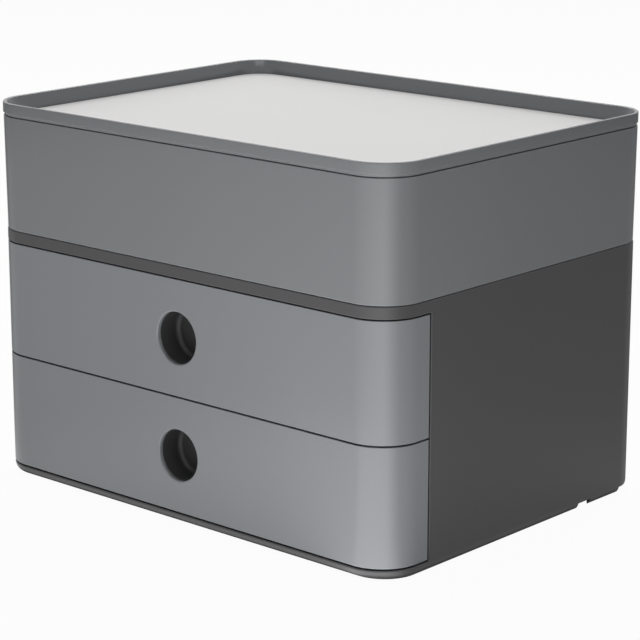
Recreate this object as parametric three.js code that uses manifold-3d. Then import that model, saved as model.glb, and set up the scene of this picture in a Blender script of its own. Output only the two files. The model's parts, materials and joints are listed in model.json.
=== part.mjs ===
// Desktop drawer unit: a casing with two drawers that carries a lidded utensil box.
// Millimetres. +X points to the right seen from the front, the front faces -Y, +Z is up.
// The origin lies on the standing surface, under the middle of the unit.

import * as THREE from 'three';
import { mergeVertices } from 'three/addons/utils/BufferGeometryUtils.js';
import Module from 'manifold-3d';

const wasm = await Module();
wasm.setup();

// Outline shared by the casing, the drawer fronts, the utensil box and the lid
const overallWidth = 260;
const overallDepth = 195;
const frontCornerRadius = 21;
const rearCornerRadius = 18;
const cornerSteps = 8;

// Heights, stacked from the standing surface up
const footProud = 1.2;
const baseStripHeight = 4.95;
const shadowGap = 0.8;
const frontHeight = 56.35;
const bandHeight = 5.55;
const boxHeight = 56.25;
const lidGroove = 1.1;
const lidBandHeight = 5.55;
const lidNeckInset = 0.5;

// Clearances
const seatGap = 0.3;
const cutOverrun = 5;

// Casing
const casingInset = 0.5;
const casingWall = 2.4;
const casingFloor = 3.8;
const casingTopThickness = 2.2;
const baseRounding = 5;
const baseRoundingSteps = 3;
const baseSideRoundingShare = 0.6;
const topChamfer = 0.8;
const frontWrap = 28;
const rearFrameSide = 12;
const rearFrameHeight = 9;
const reliefHeight = 3;
const reliefReach = 8;
const reliefPocketMargin = 5;
const sideReliefFromRear = 51.2;
const sideReliefLength = 9.4;
const cornerReliefLength = 17.5;

// Rear panel and its cable outlets
const panelThickness = 2.2;
const panelRibLength = 12;
const panelRibHeight = 1.9;
const panelRibThickness = 1.2;
const panelRibPlaceShare = 0.3;
const outletLength = 34;
const outletHeight = 14;
const outletSteps = 8;
const bushWall = 1.4;
const bushFlangeWidth = 3;
const bushFlangeThickness = 1.2;
const bushLip = 0.8;

// Rubber feet and box pads
const footRadius = 7;
const footStemRadius = 2.2;
const footInset = 26;
const padRadius = 7;
const padRecess = 0.8;
const padInset = 34;
const roundSteps = 24;

// Drawer trays
const trayWall = 2;
const trayFloor = 2;
const trayTopRoom = 8.9;
const traySideRoom = 7.5;
const trayRearRoom = 4.5;
const trayRearRadius = 13;
const flangeWidth = 2.7;
const flangeThickness = 2;
const cableNotchWidth = 36;
const cableNotchDepth = 14;

// Drawer fronts
const frontWall = 2.4;
const fingerHoleRadius = 12.5;
const fingerHoleRelief = 1;
const fingerHoleSteps = 40;
const fingerCupDepth = 12;
const fingerCupWall = 1.6;
const pegWidth = 8;
const pegHeight = 3;
const pegTip = 1;
const pegPlaceShares = [-0.36, -0.18, 0.18, 0.36];

// Runners and stops
const runnerWeb = 1.5;
const runnerLip = 1.6;
const runnerSlotRoom = 0.6;
const runnerFlangeRoom = 0.6;
const runnerLipClearance = 0.5;
const stopTabLength = 3;
const stopTabHeight = 4.5;
const stopTabReach = 3.4;
const stopClearance = 1;
const stopClipWall = 1.8;
const stopClipLength = 8;
const stopClipHeight = 3.4;
const stopClipLeg = 9;
const stopClipFromTrayRear = 45.2;

// Utensil box
const boxTopInset = 0.2;
const boxBottomInset = 0.6;
const boxWall = 1.8;
const boxFloor = 1.8;
const boxSkirt = 2.2;
const boxEdgeChamfer = 0.8;
const lidRibWidth = 1.6;
const lidRibReach = 4;
const lidRibPlaceShare = 0.25;

// Dividers
const dividerThickness = 1.6;
const dividerHeight = 38;
const longDividerPlaceShare = 0.06;
const crossDividerPlaceShare = 0.17;
const dividerRibWidth = 1.4;
const dividerRibReach = 2.2;

// Lid
const rimWidth = 1.8;
const lidPlugClearance = 0.3;
const lidPlugWall = 1.5;
const trayDepth = 7.2;
const plateThickness = 1.6;
const lidFloor = 1.8;
const rimChamfer = 0.4;

// Levels worked out from the stack of heights
const casingBottom = footProud;
const stripTop = casingBottom + baseStripHeight;
const drawerPitch = frontHeight + shadowGap;
const lowerFrontBottom = stripTop + shadowGap;
const upperFrontBottom = lowerFrontBottom + drawerPitch;
const bandBottom = upperFrontBottom + drawerPitch;
const casingTop = bandBottom + bandHeight;
const boxBottom = casingTop + seatGap;
const boxTop = boxBottom + boxHeight;
const lidBottom = boxTop + lidGroove;

// Places worked out from the outline
const frontY = -overallDepth / 2;
const rearY = overallDepth / 2;
const sideX = overallWidth / 2;
const casingInnerX = sideX - casingInset - casingWall;
const casingInnerRearY = rearY - casingInset - casingWall;
const floorTop = casingBottom + casingFloor;
const topUnderside = casingTop - casingTopThickness;
const frontWrapEnd = frontY + casingInset + frontWrap;
const sideWallFront = frontWrapEnd + shadowGap;
const panelFarY = casingInnerRearY - seatGap;
const panelNearY = panelFarY - panelThickness;

// Materials
function plastic(color, roughness) {
  return new THREE.MeshStandardMaterial({ color, roughness, metalness: 0 });
}
const casingPlastic = plastic(0x47474a, 0.5);
const frontPlastic = plastic(0x8b8f94, 0.22);
const boxPlastic = plastic(0x7b7e82, 0.25);
const trayPlastic = plastic(0x3d3e40, 0.45);
const platePlastic = plastic(0xdcdbd9, 0.35);
const softRubber = plastic(0x1c1c1e, 0.8);
const runnerPlastic = plastic(0x2e2f31, 0.4);

// A closed geometry as a solid that can be joined and cut
function solidOf(geometry) {
  geometry.deleteAttribute('normal');
  geometry.deleteAttribute('uv');
  const merged = mergeVertices(geometry);
  const vertProperties = Float32Array.from(merged.attributes.position.array);
  const triVerts = Uint32Array.from(merged.index.array);
  return new wasm.Manifold(new wasm.Mesh({ numProp: 3, vertProperties, triVerts }));
}

// A finished solid as a named mesh
function meshOf(name, solid, material) {
  const { vertProperties, triVerts } = solid.getMesh();
  const geometry = new THREE.BufferGeometry();
  geometry.setAttribute('position', new THREE.BufferAttribute(vertProperties, 3));
  geometry.setIndex(new THREE.BufferAttribute(triVerts, 1));
  geometry.computeVertexNormals();
  const mesh = new THREE.Mesh(geometry, material);
  mesh.name = name;
  return mesh;
}

// A block between two limits along each axis
function block([x0, x1], [y0, y1], [z0, z1]) {
  const geometry = new THREE.BoxGeometry(x1 - x0, y1 - y0, z1 - z0);
  geometry.translate((x0 + x1) / 2, (y0 + y1) / 2, (z0 + z1) / 2);
  return solidOf(geometry);
}

// An upright disc
function disc(radius, x, y, [z0, z1]) {
  const geometry = new THREE.CylinderGeometry(radius, radius, z1 - z0, roundSteps);
  geometry.rotateX(Math.PI / 2);
  geometry.translate(x, y, (z0 + z1) / 2);
  return solidOf(geometry);
}

// A drum that lies along Y, for the finger holes
function drum(radius, [y0, y1], z) {
  const geometry = new THREE.CylinderGeometry(radius, radius, y1 - y0, fingerHoleSteps);
  geometry.translate(0, (y0 + y1) / 2, z);
  return solidOf(geometry);
}

// An oblong with round ends that lies along Y, for the cable outlets
function oblong(length, height, [y0, y1], z) {
  const radius = height / 2;
  const straight = length / 2 - radius;
  const shape = new THREE.Shape();
  shape.absarc(straight, 0, radius, -Math.PI / 2, Math.PI / 2);
  shape.absarc(-straight, 0, radius, Math.PI / 2, Math.PI * 1.5);
  const settings = { depth: y1 - y0, bevelEnabled: false, curveSegments: outletSteps };
  const geometry = new THREE.ExtrudeGeometry(shape, settings);
  geometry.rotateX(Math.PI / 2);
  geometry.translate(0, y1, z);
  return solidOf(geometry);
}

// Points of a rectangle with round corners, anticlockwise seen from above
function roundedRectangle([x0, x1], [y0, y1], frontRadius, rearRadius) {
  const corners = [
    { x: x0 + frontRadius, y: y0 + frontRadius, radius: frontRadius, from: Math.PI },
    { x: x1 - frontRadius, y: y0 + frontRadius, radius: frontRadius, from: Math.PI * 1.5 },
    { x: x1 - rearRadius, y: y1 - rearRadius, radius: rearRadius, from: 0 },
    { x: x0 + rearRadius, y: y1 - rearRadius, radius: rearRadius, from: Math.PI / 2 },
  ];
  const points = [];
  for (const corner of corners) {
    for (let step = 0; step <= cornerSteps; step += 1) {
      const angle = corner.from + (Math.PI / 2) * (step / cornerSteps);
      const x = corner.x + corner.radius * Math.cos(angle);
      const y = corner.y + corner.radius * Math.sin(angle);
      points.push([x, y]);
    }
  }
  return points;
}

// The shared outline, drawn in all round by an inset
function outline(inset) {
  const xSpan = [-sideX + inset, sideX - inset];
  const ySpan = [frontY + inset, rearY - inset];
  return roundedRectangle(xSpan, ySpan, frontCornerRadius - inset, rearCornerRadius - inset);
}

// A closed solid through rings of points, from the bottom ring to the top one
function loft(rings) {
  const count = rings[0].points.length;
  const positions = [];
  const faces = [];
  for (const ring of rings) {
    for (const [x, y] of ring.points) {
      positions.push(x, y, ring.z);
    }
  }
  for (let level = 0; level < rings.length - 1; level += 1) {
    for (let index = 0; index < count; index += 1) {
      const next = (index + 1) % count;
      const low = level * count;
      const high = low + count;
      faces.push(low + index, low + next, high + next);
      faces.push(low + index, high + next, high + index);
    }
  }
  const last = (rings.length - 1) * count;
  for (let index = 1; index < count - 1; index += 1) {
    faces.push(0, index + 1, index);
    faces.push(last, last + index, last + index + 1);
  }
  const geometry = new THREE.BufferGeometry();
  geometry.setAttribute('position', new THREE.Float32BufferAttribute(positions, 3));
  geometry.setIndex(faces);
  return solidOf(geometry);
}

// A plain column of the shared outline
function column(inset, [z0, z1]) {
  const points = outline(inset);
  return loft([{ z: z0, points }, { z: z1, points }]);
}

// The four places of a foot or pad, given its distance from the outline
function cornerPlaces(inset) {
  return [
    { corner: 'front_left', x: -sideX + inset, y: frontY + inset },
    { corner: 'front_right', x: sideX - inset, y: frontY + inset },
    { corner: 'rear_left', x: -sideX + inset, y: rearY - inset },
    { corner: 'rear_right', x: sideX - inset, y: rearY - inset },
  ];
}

const sides = [
  { side: 'left', sign: -1 },
  { side: 'right', sign: 1 },
];

// A block on one side of the unit, given by its distances from the middle plane
function sideBlock(sign, [near, far], ySpan, zSpan) {
  const xSpan = sign > 0 ? [near, far] : [-far, -near];
  return block(xSpan, ySpan, zSpan);
}

// Short ribs on the floor and under the top, which hold the rear panel against the rear wall's frame
function panelRibs() {
  const ribs = [];
  const farY = panelNearY - seatGap;
  const ribY = [farY - panelRibThickness, farY];
  const nearX = panelRibPlaceShare * overallWidth;
  const ribX = [nearX, nearX + panelRibLength];
  const lowRibZ = [casingBottom + casingFloor / 2, floorTop + panelRibHeight];
  const highRibZ = [topUnderside - panelRibHeight, casingTop - casingTopThickness / 2];
  for (const { sign } of sides) {
    ribs.push(sideBlock(sign, ribX, ribY, lowRibZ));
    ribs.push(sideBlock(sign, ribX, ribY, highRibZ));
  }
  return ribs;
}

// Rings of the casing's rounded foot, which is drawn in less at the sides than at the front and rear
function baseRings() {
  const rings = [];
  for (let step = 0; step <= baseRoundingSteps; step += 1) {
    const angle = (Math.PI / 2) * (step / baseRoundingSteps);
    const drawnIn = baseRounding * (1 - Math.sin(angle));
    const raised = baseRounding * (1 - Math.cos(angle));
    const halfWidth = sideX - casingInset - drawnIn;
    const widening = 1 + (drawnIn * (1 - baseSideRoundingShare)) / halfWidth;
    const points = outline(casingInset + drawnIn).map(([x, y]) => [x * widening, y]);
    rings.push({ z: casingBottom + raised, points });
  }
  return rings;
}

// Casing shell
function casingShell() {
  const rings = baseRings();
  rings.push({ z: casingTop - topChamfer, points: outline(casingInset) });
  rings.push({ z: casingTop, points: outline(casingInset + topChamfer) });
  let shell = loft(rings);
  shell = shell.subtract(column(casingInset + casingWall, [floorTop, topUnderside]));
  for (const rib of panelRibs()) {
    shell = shell.add(rib);
  }

  const frontOpeningY = [frontY - cutOverrun, sideWallFront];
  const wholeWidth = [-sideX - cutOverrun, sideX + cutOverrun];
  shell = shell.subtract(block(wholeWidth, frontOpeningY, [stripTop, bandBottom]));

  const rearOpeningX = sideX - rearCornerRadius - rearFrameSide;
  const rearOpeningZ = [floorTop + rearFrameHeight, topUnderside - rearFrameHeight];
  const rearWallY = [casingInnerRearY - cutOverrun, rearY + cutOverrun];
  shell = shell.subtract(block([-rearOpeningX, rearOpeningX], rearWallY, rearOpeningZ));

  const reliefZ = [casingBottom - cutOverrun, casingBottom + reliefHeight];
  const sideReliefStart = rearY - sideReliefFromRear;
  const sideReliefEnd = sideReliefStart + sideReliefLength;
  const sideReliefX = [casingInnerX, sideX + cutOverrun];
  const sideReliefY = [sideReliefStart, sideReliefEnd];
  const pocketX = [sideX - reliefReach, casingInnerX];
  const pocketY = [sideReliefStart - reliefPocketMargin, sideReliefEnd + reliefPocketMargin];
  const cornerReliefX = [sideX - rearCornerRadius, sideX + cutOverrun];
  const cornerReliefY = [rearY - cornerReliefLength, rearY + cutOverrun];
  for (const { sign } of sides) {
    shell = shell.subtract(sideBlock(sign, sideReliefX, sideReliefY, reliefZ));
    shell = shell.subtract(sideBlock(sign, pocketX, pocketY, reliefZ));
    shell = shell.subtract(sideBlock(sign, cornerReliefX, cornerReliefY, reliefZ));
  }
  const stemHoleZ = [casingBottom - cutOverrun, floorTop + cutOverrun];
  for (const { x, y } of cornerPlaces(footInset)) {
    shell = shell.subtract(disc(footStemRadius + seatGap, x, y, stemHoleZ));
  }
  const padRecessZ = [casingTop - padRecess, casingTop + cutOverrun];
  for (const { x, y } of cornerPlaces(padInset)) {
    shell = shell.subtract(disc(padRadius + seatGap, x, y, padRecessZ));
  }
  return shell;
}

// Rear panel, lapped behind the frame of the rear wall
const trayTop = frontHeight - trayTopRoom;
const outletCentreInDrawer = trayTop - cableNotchDepth / 2;

function rearPanel() {
  const panelX = sideX - rearCornerRadius - seatGap;
  const panelZ = [floorTop + seatGap, topUnderside - seatGap];
  const throughPanel = [panelNearY - cutOverrun, panelFarY + cutOverrun];
  let panel = block([-panelX, panelX], [panelNearY, panelFarY], panelZ);
  for (const frontBottom of [lowerFrontBottom, upperFrontBottom]) {
    const outletZ = frontBottom + outletCentreInDrawer;
    panel = panel.subtract(oblong(outletLength, outletHeight, throughPanel, outletZ));
  }
  return panel;
}

// Soft bush that lines a cable outlet, flanged on the outer face of the panel
function cableBush(frontBottom) {
  const z = frontBottom + outletCentreInDrawer;
  const sleeveLength = outletLength - 2 * seatGap;
  const sleeveHeight = outletHeight - 2 * seatGap;
  const flangeLength = outletLength + 2 * bushFlangeWidth;
  const flangeHeight = outletHeight + 2 * bushFlangeWidth;
  const flangeNearY = panelFarY + seatGap;
  const flangeY = [flangeNearY, flangeNearY + bushFlangeThickness];
  const sleeveY = [panelNearY - bushLip, flangeNearY + bushFlangeThickness / 2];
  const boreY = [panelNearY - cutOverrun, flangeNearY + cutOverrun];
  const flange = oblong(flangeLength, flangeHeight, flangeY, z);
  const sleeve = oblong(sleeveLength, sleeveHeight, sleeveY, z);
  const bore = oblong(sleeveLength - 2 * bushWall, sleeveHeight - 2 * bushWall, boreY, z);
  return flange.add(sleeve).subtract(bore);
}

// Push-in rubber foot: a disc under the floor and a stem up through it
function foot({ x, y }) {
  const pad = disc(footRadius, x, y, [0, footProud - seatGap]);
  const stem = disc(footStemRadius, x, y, [footProud / 2, floorTop]);
  return pad.add(stem);
}

// Tray sizes, with heights counted from the bottom edge of the drawer front
const trayX = sideX - traySideRoom;
const trayFrontY = frontY + casingInset + frontWall + seatGap;
const trayRearY = rearY - trayRearRoom - panelThickness;
const trayFrontRadius = frontCornerRadius - casingInset - frontWall - seatGap;
const trayBottom = seatGap;
const flangeBottom = trayTop - flangeThickness;
const flangeRearY = trayRearY - trayRearRadius;
const fingerHoleZ = frontHeight / 2;

// Pegs on the back of the drawer front, which pass through the tray's front wall
function pegs(grow) {
  let all = null;
  for (const share of pegPlaceShares) {
    const x = share * overallWidth;
    const halfWidth = pegWidth / 2 + grow;
    const halfHeight = pegHeight / 2 + grow;
    const pegX = [x - halfWidth, x + halfWidth];
    const pegY = [frontY + casingInset + frontWall / 2, trayFrontY + trayWall + pegTip + grow];
    const pegZ = [fingerHoleZ - halfHeight, fingerHoleZ + halfHeight];
    const peg = block(pegX, pegY, pegZ);
    all = all ? all.add(peg) : peg;
  }
  return all;
}

function drawerFront() {
  const wholeWidth = [-sideX - cutOverrun, sideX + cutOverrun];
  const behindWrap = [frontWrapEnd, rearY + cutOverrun];
  const cutZ = [-cutOverrun, frontHeight + cutOverrun];
  let front = column(casingInset, [0, frontHeight]);
  front = front.subtract(column(casingInset + frontWall, cutZ));
  front = front.subtract(block(wholeWidth, behindWrap, cutZ));
  front = front.add(pegs(0));
  const holeY = [frontY - cutOverrun, trayFrontY + trayWall + cutOverrun];
  return front.subtract(drum(fingerHoleRadius, holeY, fingerHoleZ));
}

// Drawer tray, with a closed cup behind the finger hole
function drawerTray() {
  const outerY = [trayFrontY, trayRearY];
  const outer = roundedRectangle([-trayX, trayX], outerY, trayFrontRadius, trayRearRadius);
  let tray = loft([{ z: trayBottom, points: outer }, { z: trayTop, points: outer }]);
  const flangeX = [trayX - trayWall, trayX + flangeWidth];
  const flangeY = [trayFrontY + trayFrontRadius, flangeRearY];
  for (const { sign } of sides) {
    tray = tray.add(sideBlock(sign, flangeX, flangeY, [flangeBottom, trayTop]));
  }
  const innerX = trayX - trayWall;
  const innerY = [trayFrontY + trayWall, trayRearY - trayWall];
  const innerFrontRadius = trayFrontRadius - trayWall;
  const innerRearRadius = trayRearRadius - trayWall;
  const inner = roundedRectangle([-innerX, innerX], innerY, innerFrontRadius, innerRearRadius);
  const innerBottom = trayBottom + trayFloor;
  const innerTop = trayTop + cutOverrun;
  tray = tray.subtract(loft([{ z: innerBottom, points: inner }, { z: innerTop, points: inner }]));

  const cupRadius = fingerHoleRadius + fingerHoleRelief;
  const cupBackY = trayFrontY + fingerCupDepth;
  tray = tray.add(drum(cupRadius + fingerCupWall, [trayFrontY, cupBackY + fingerCupWall], fingerHoleZ));
  tray = tray.subtract(drum(cupRadius, [trayFrontY - cutOverrun, cupBackY], fingerHoleZ));
  tray = tray.subtract(pegs(seatGap));
  const notchX = cableNotchWidth / 2;
  const notchY = [trayRearY - trayWall - cutOverrun, trayRearY + cutOverrun];
  return tray.subtract(block([-notchX, notchX], notchY, [trayTop - cableNotchDepth, trayTop + cutOverrun]));
}

// Runners, with heights counted as the tray's are
const runnerFarX = casingInnerX - seatGap;
const runnerWebX = runnerFarX - runnerWeb;
const runnerLipX = trayX + runnerLipClearance;
const runnerFrontY = sideWallFront + seatGap;
const runnerRearY = flangeRearY - runnerFlangeRoom;
const stopTabX = runnerWebX - stopTabReach - flangeWidth;

function runner(sign) {
  const lowerLipTop = flangeBottom - seatGap;
  const upperLipBottom = trayTop + runnerSlotRoom;
  const ySpan = [runnerFrontY, runnerRearY];
  const zSpan = [lowerLipTop - runnerLip, upperLipBottom + runnerLip];
  const slotX = [runnerLipX - cutOverrun, runnerWebX];
  let rail = sideBlock(sign, [runnerLipX, runnerFarX], ySpan, zSpan);
  const slotY = [runnerFrontY - cutOverrun, runnerRearY + cutOverrun];
  rail = rail.subtract(sideBlock(sign, slotX, slotY, [lowerLipTop, upperLipBottom]));
  const tabY = [runnerFrontY, runnerFrontY + stopTabLength];
  const tabZ = [trayTop + stopClearance, trayTop + stopClearance + stopTabHeight];
  return rail.add(sideBlock(sign, [stopTabX, runnerFarX], tabY, tabZ));
}

// Clip over the tray rim, whose front face meets the runner's stop tab and so ends the drawer's travel
function stopClip(sign) {
  const frontFace = trayRearY - stopClipFromTrayRear;
  const ySpan = [frontFace, frontFace + stopClipLength];
  const rimX = [trayX - trayWall - seatGap - stopClipWall, trayX];
  const bridge = sideBlock(sign, rimX, ySpan, [trayTop + seatGap, trayTop + seatGap + stopClipHeight]);
  const legX = [rimX[0], rimX[0] + stopClipWall];
  const leg = sideBlock(sign, legX, ySpan, [trayTop - stopClipLeg, trayTop + seatGap + stopClipHeight / 2]);
  return bridge.add(leg);
}

// Utensil box, with heights counted from its bottom edge
const boxFloorBottom = boxSkirt;
const boxFloorTop = boxSkirt + boxFloor;
const lidTop = boxHeight + lidGroove + lidBandHeight;
const lidPlugBottom = lidTop - trayDepth - plateThickness - seatGap - lidFloor;
const lidRibTop = lidPlugBottom - seatGap;

function boxInsetAt(z) {
  return boxBottomInset + (boxTopInset - boxBottomInset) * (z / boxHeight);
}

function boxInnerColumn([z0, z1]) {
  const low = outline(boxInsetAt(z0) + boxWall);
  const high = outline(boxInsetAt(z1) + boxWall);
  return loft([{ z: z0, points: low }, { z: z1, points: high }]);
}

// Pair of ribs on a wall that hold one end of a divider
const longDividerY = longDividerPlaceShare * overallDepth;
const crossDividerX = crossDividerPlaceShare * overallWidth;
const dividerRoom = dividerThickness / 2 + seatGap;
const boxInnerX = sideX - boxInsetAt(boxFloorTop) - boxWall;
const boxInnerRearY = rearY - boxInsetAt(boxFloorTop) - boxWall;
const dividerTop = boxFloorTop + seatGap + dividerHeight;

function boxRibs() {
  const ribs = [];
  const ribWall = boxWall / 2;
  const lidRibX = lidRibPlaceShare * overallWidth;
  const lidRibY = lidRibPlaceShare * overallDepth;
  const halfRib = lidRibWidth / 2;
  const lidRibZ = [boxFloorBottom, lidRibTop];
  const dividerRibZ = [boxFloorBottom, dividerTop];
  const rearX = [boxInnerRearY - lidRibReach, boxInnerRearY + ribWall];
  const frontFaceY = [-boxInnerRearY - ribWall, -boxInnerRearY + lidRibReach];
  for (const { sign } of sides) {
    const acrossX = [sign * lidRibX - halfRib, sign * lidRibX + halfRib];
    ribs.push(block(acrossX, rearX, lidRibZ));
    ribs.push(block(acrossX, frontFaceY, lidRibZ));
    for (const end of [-1, 1]) {
      const alongY = [end * lidRibY - halfRib, end * lidRibY + halfRib];
      ribs.push(sideBlock(sign, [boxInnerX - lidRibReach, boxInnerX + ribWall], alongY, lidRibZ));
    }
    for (const end of [-1, 1]) {
      const nearFace = end * dividerRoom;
      const farFace = end * (dividerRoom + dividerRibWidth);
      const low = Math.min(nearFace, farFace);
      const high = Math.max(nearFace, farFace);
      const reachX = [boxInnerX - dividerRibReach, boxInnerX + ribWall];
      ribs.push(sideBlock(sign, reachX, [longDividerY + low, longDividerY + high], dividerRibZ));
      const reachY = [boxInnerRearY - dividerRibReach, boxInnerRearY + ribWall];
      const crossX = sign * crossDividerX;
      ribs.push(block([crossX + low, crossX + high], reachY, dividerRibZ));
    }
  }
  return ribs;
}

function boxShell() {
  const bottomEdge = outline(boxBottomInset + boxEdgeChamfer);
  const topEdge = outline(boxTopInset + boxEdgeChamfer / 2);
  let shell = loft([
    { z: 0, points: bottomEdge },
    { z: boxEdgeChamfer, points: outline(boxInsetAt(boxEdgeChamfer)) },
    { z: boxHeight - boxEdgeChamfer / 2, points: outline(boxInsetAt(boxHeight - boxEdgeChamfer / 2)) },
    { z: boxHeight, points: topEdge },
  ]);
  shell = shell.subtract(boxInnerColumn([boxFloorTop, boxHeight + cutOverrun]));
  shell = shell.subtract(column(boxBottomInset + boxWall, [-cutOverrun, boxFloorBottom]));
  for (const rib of boxRibs()) {
    shell = shell.add(rib);
  }
  return shell;
}

function longDivider() {
  const x = boxInnerX - seatGap;
  const y = [longDividerY - dividerThickness / 2, longDividerY + dividerThickness / 2];
  return block([-x, x], y, [boxFloorTop + seatGap, dividerTop]);
}

function crossDivider(sign) {
  const middle = sign * crossDividerX;
  const x = [middle - dividerThickness / 2, middle + dividerThickness / 2];
  const y = [longDividerY + dividerThickness / 2 + seatGap, boxInnerRearY - seatGap];
  return block(x, y, [boxFloorTop + seatGap, dividerTop]);
}

// Pad under the box floor, which reaches down into its recess in the casing
function boxPad({ x, y }) {
  return disc(padRadius, x, y, [-padRecess, boxFloorBottom - seatGap]);
}

// Lid, with heights counted from the bottom edge of its band
const plugInset = boxTopInset + boxWall + lidPlugClearance;
const recessInset = plugInset + lidPlugWall;
const plateTop = lidBandHeight - trayDepth;
const plateBottom = plateTop - plateThickness;
const lidFloorTop = plateBottom - seatGap;
const lidFloorBottom = lidFloorTop - lidFloor;

function lidFrame() {
  const band = loft([
    { z: 0, points: outline(0) },
    { z: lidBandHeight - rimChamfer, points: outline(0) },
    { z: lidBandHeight, points: outline(rimChamfer) },
  ]);
  const neck = column(lidNeckInset, [seatGap - lidGroove, lidBandHeight / 2]);
  const plug = column(plugInset, [lidFloorBottom, lidBandHeight / 2]);
  const recess = loft([
    { z: lidFloorTop, points: outline(recessInset) },
    { z: 0, points: outline(recessInset) },
    { z: lidBandHeight, points: outline(rimWidth) },
    { z: lidBandHeight + cutOverrun, points: outline(rimWidth) },
  ]);
  return band.add(neck).add(plug).subtract(recess);
}

function lidPlate() {
  return column(recessInset + seatGap, [plateBottom, plateTop]);
}

// Assembly
function groupAt(z, ...meshes) {
  const group = new THREE.Group();
  group.position.z = z;
  group.add(...meshes);
  return group;
}

function drawer(level, frontBottom) {
  return groupAt(
    frontBottom,
    meshOf(`${level}_front`, drawerFront(), frontPlastic),
    meshOf(`${level}_tray`, drawerTray(), trayPlastic),
    ...sides.map(({ side, sign }) => meshOf(`${level}_stop_${side}`, stopClip(sign), runnerPlastic)),
  );
}

function runners(level, frontBottom) {
  return groupAt(
    frontBottom,
    ...sides.map(({ side, sign }) => meshOf(`${level}_runner_${side}`, runner(sign), runnerPlastic)),
  );
}

const casing = groupAt(
  0,
  meshOf('casing_shell', casingShell(), casingPlastic),
  meshOf('rear_panel', rearPanel(), casingPlastic),
  meshOf('cable_bush_lower', cableBush(lowerFrontBottom), softRubber),
  meshOf('cable_bush_upper', cableBush(upperFrontBottom), softRubber),
  ...cornerPlaces(footInset).map((place) => meshOf(`foot_${place.corner}`, foot(place), softRubber)),
  runners('lower', lowerFrontBottom),
  runners('upper', upperFrontBottom),
);

const utensilBox = groupAt(
  boxBottom,
  meshOf('box_shell', boxShell(), boxPlastic),
  meshOf('divider_long', longDivider(), trayPlastic),
  ...sides.map(({ side, sign }) => meshOf(`divider_${side}`, crossDivider(sign), trayPlastic)),
  ...cornerPlaces(padInset).map((place) => meshOf(`box_pad_${place.corner}`, boxPad(place), softRubber)),
);

const lid = groupAt(
  lidBottom,
  meshOf('lid_frame', lidFrame(), boxPlastic),
  meshOf('lid_plate', lidPlate(), platePlastic),
);

const lowerDrawer = drawer('lower', lowerFrontBottom);
const upperDrawer = drawer('upper', upperFrontBottom);

const drawerUnit = new THREE.Group();
drawerUnit.add(casing, lowerDrawer, upperDrawer, utensilBox, lid);

export default drawerUnit;
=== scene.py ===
"""Desktop drawer unit: a dark casing with two drawers, a utensil box and a tray lid with a pale plate.

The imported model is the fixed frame. Every moulding here stands for one node of it and takes its place from
it, in metres. Each sub-assembly is a class that holds its sizes, builds its mouldings and dresses them.
"""

import json
import logging
import math
from collections.abc import Callable, Iterator, Sequence
from contextlib import contextmanager
from dataclasses import dataclass
from enum import Enum

import bmesh
import bpy
from mathutils import Matrix, Vector

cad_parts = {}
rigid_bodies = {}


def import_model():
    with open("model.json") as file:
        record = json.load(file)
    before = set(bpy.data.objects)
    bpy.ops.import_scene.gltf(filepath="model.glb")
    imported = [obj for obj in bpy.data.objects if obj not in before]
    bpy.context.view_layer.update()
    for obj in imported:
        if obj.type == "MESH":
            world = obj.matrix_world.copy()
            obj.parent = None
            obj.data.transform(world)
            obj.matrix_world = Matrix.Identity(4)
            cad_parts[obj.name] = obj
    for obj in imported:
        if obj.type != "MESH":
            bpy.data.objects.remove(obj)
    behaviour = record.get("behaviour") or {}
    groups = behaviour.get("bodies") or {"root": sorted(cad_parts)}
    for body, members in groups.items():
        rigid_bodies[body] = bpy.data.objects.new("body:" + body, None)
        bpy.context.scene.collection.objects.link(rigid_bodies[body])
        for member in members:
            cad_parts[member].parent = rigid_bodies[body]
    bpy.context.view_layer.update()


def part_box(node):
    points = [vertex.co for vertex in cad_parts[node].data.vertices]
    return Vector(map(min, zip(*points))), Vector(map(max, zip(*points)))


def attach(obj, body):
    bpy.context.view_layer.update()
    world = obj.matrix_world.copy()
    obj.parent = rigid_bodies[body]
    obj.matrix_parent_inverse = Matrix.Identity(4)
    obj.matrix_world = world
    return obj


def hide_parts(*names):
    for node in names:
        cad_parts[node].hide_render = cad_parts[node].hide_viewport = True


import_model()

LOG = logging.getLogger("drawer_unit")
CORNERS = ("front_left", "front_right", "rear_left", "rear_right")
MM = 0.001
OVERRUN = 5 * MM
SAME_PLACE = 0.02 * MM
SAME_WAY = 0.999
REAL_CORNER = math.radians(20)
SMOOTH_ANGLE = math.radians(40)
ROUND_PROFILE = 0.5
NOISE_MIDDLE = 0.5
FIRST_COLOUR_SOCKET = 6
SECOND_COLOUR_SOCKET = 7
MIXED_COLOUR_SOCKET = 2

FaceTest = Callable[[Vector, Vector], bool]
EdgeTest = Callable[[Vector, Vector], bool]
Span = tuple[float, float]
Triple = tuple[float, float, float]
Colour = Triple
Settings = dict[str, object]
Inputs = dict[str | int, object]


class Axis(Enum):
    """The direction that a drum lies along, as the turn that lays it there from upright."""

    Y = (math.pi / 2, 0, 0)
    Z = (0, 0, 0)


class Slot(Enum):
    """The record's material slots."""

    CASING = "casing"
    DRAWER_FRONT = "drawer_front"
    BOX = "box"
    LID = "lid"
    PLATE = "plate"
    DRAWER_TRAY = "drawer_tray"
    RUNNER = "runner"
    RUBBER = "rubber"


class Level(Enum):
    """The two drawers, one above the other."""

    LOWER = "lower"
    UPPER = "upper"


class Hand(Enum):
    """Left and right, seen from the front."""

    LEFT = "left"
    RIGHT = "right"

    @property
    def sign(self) -> int:
        """Minus one on the left and one on the right."""
        return 1 if self is Hand.RIGHT else -1

    def reach(self, low: Vector, high: Vector) -> Span:
        """The least and the greatest distance from the middle plane of a box that lies on this side."""
        return (low.x, high.x) if self is Hand.RIGHT else (-high.x, -low.x)


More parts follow.
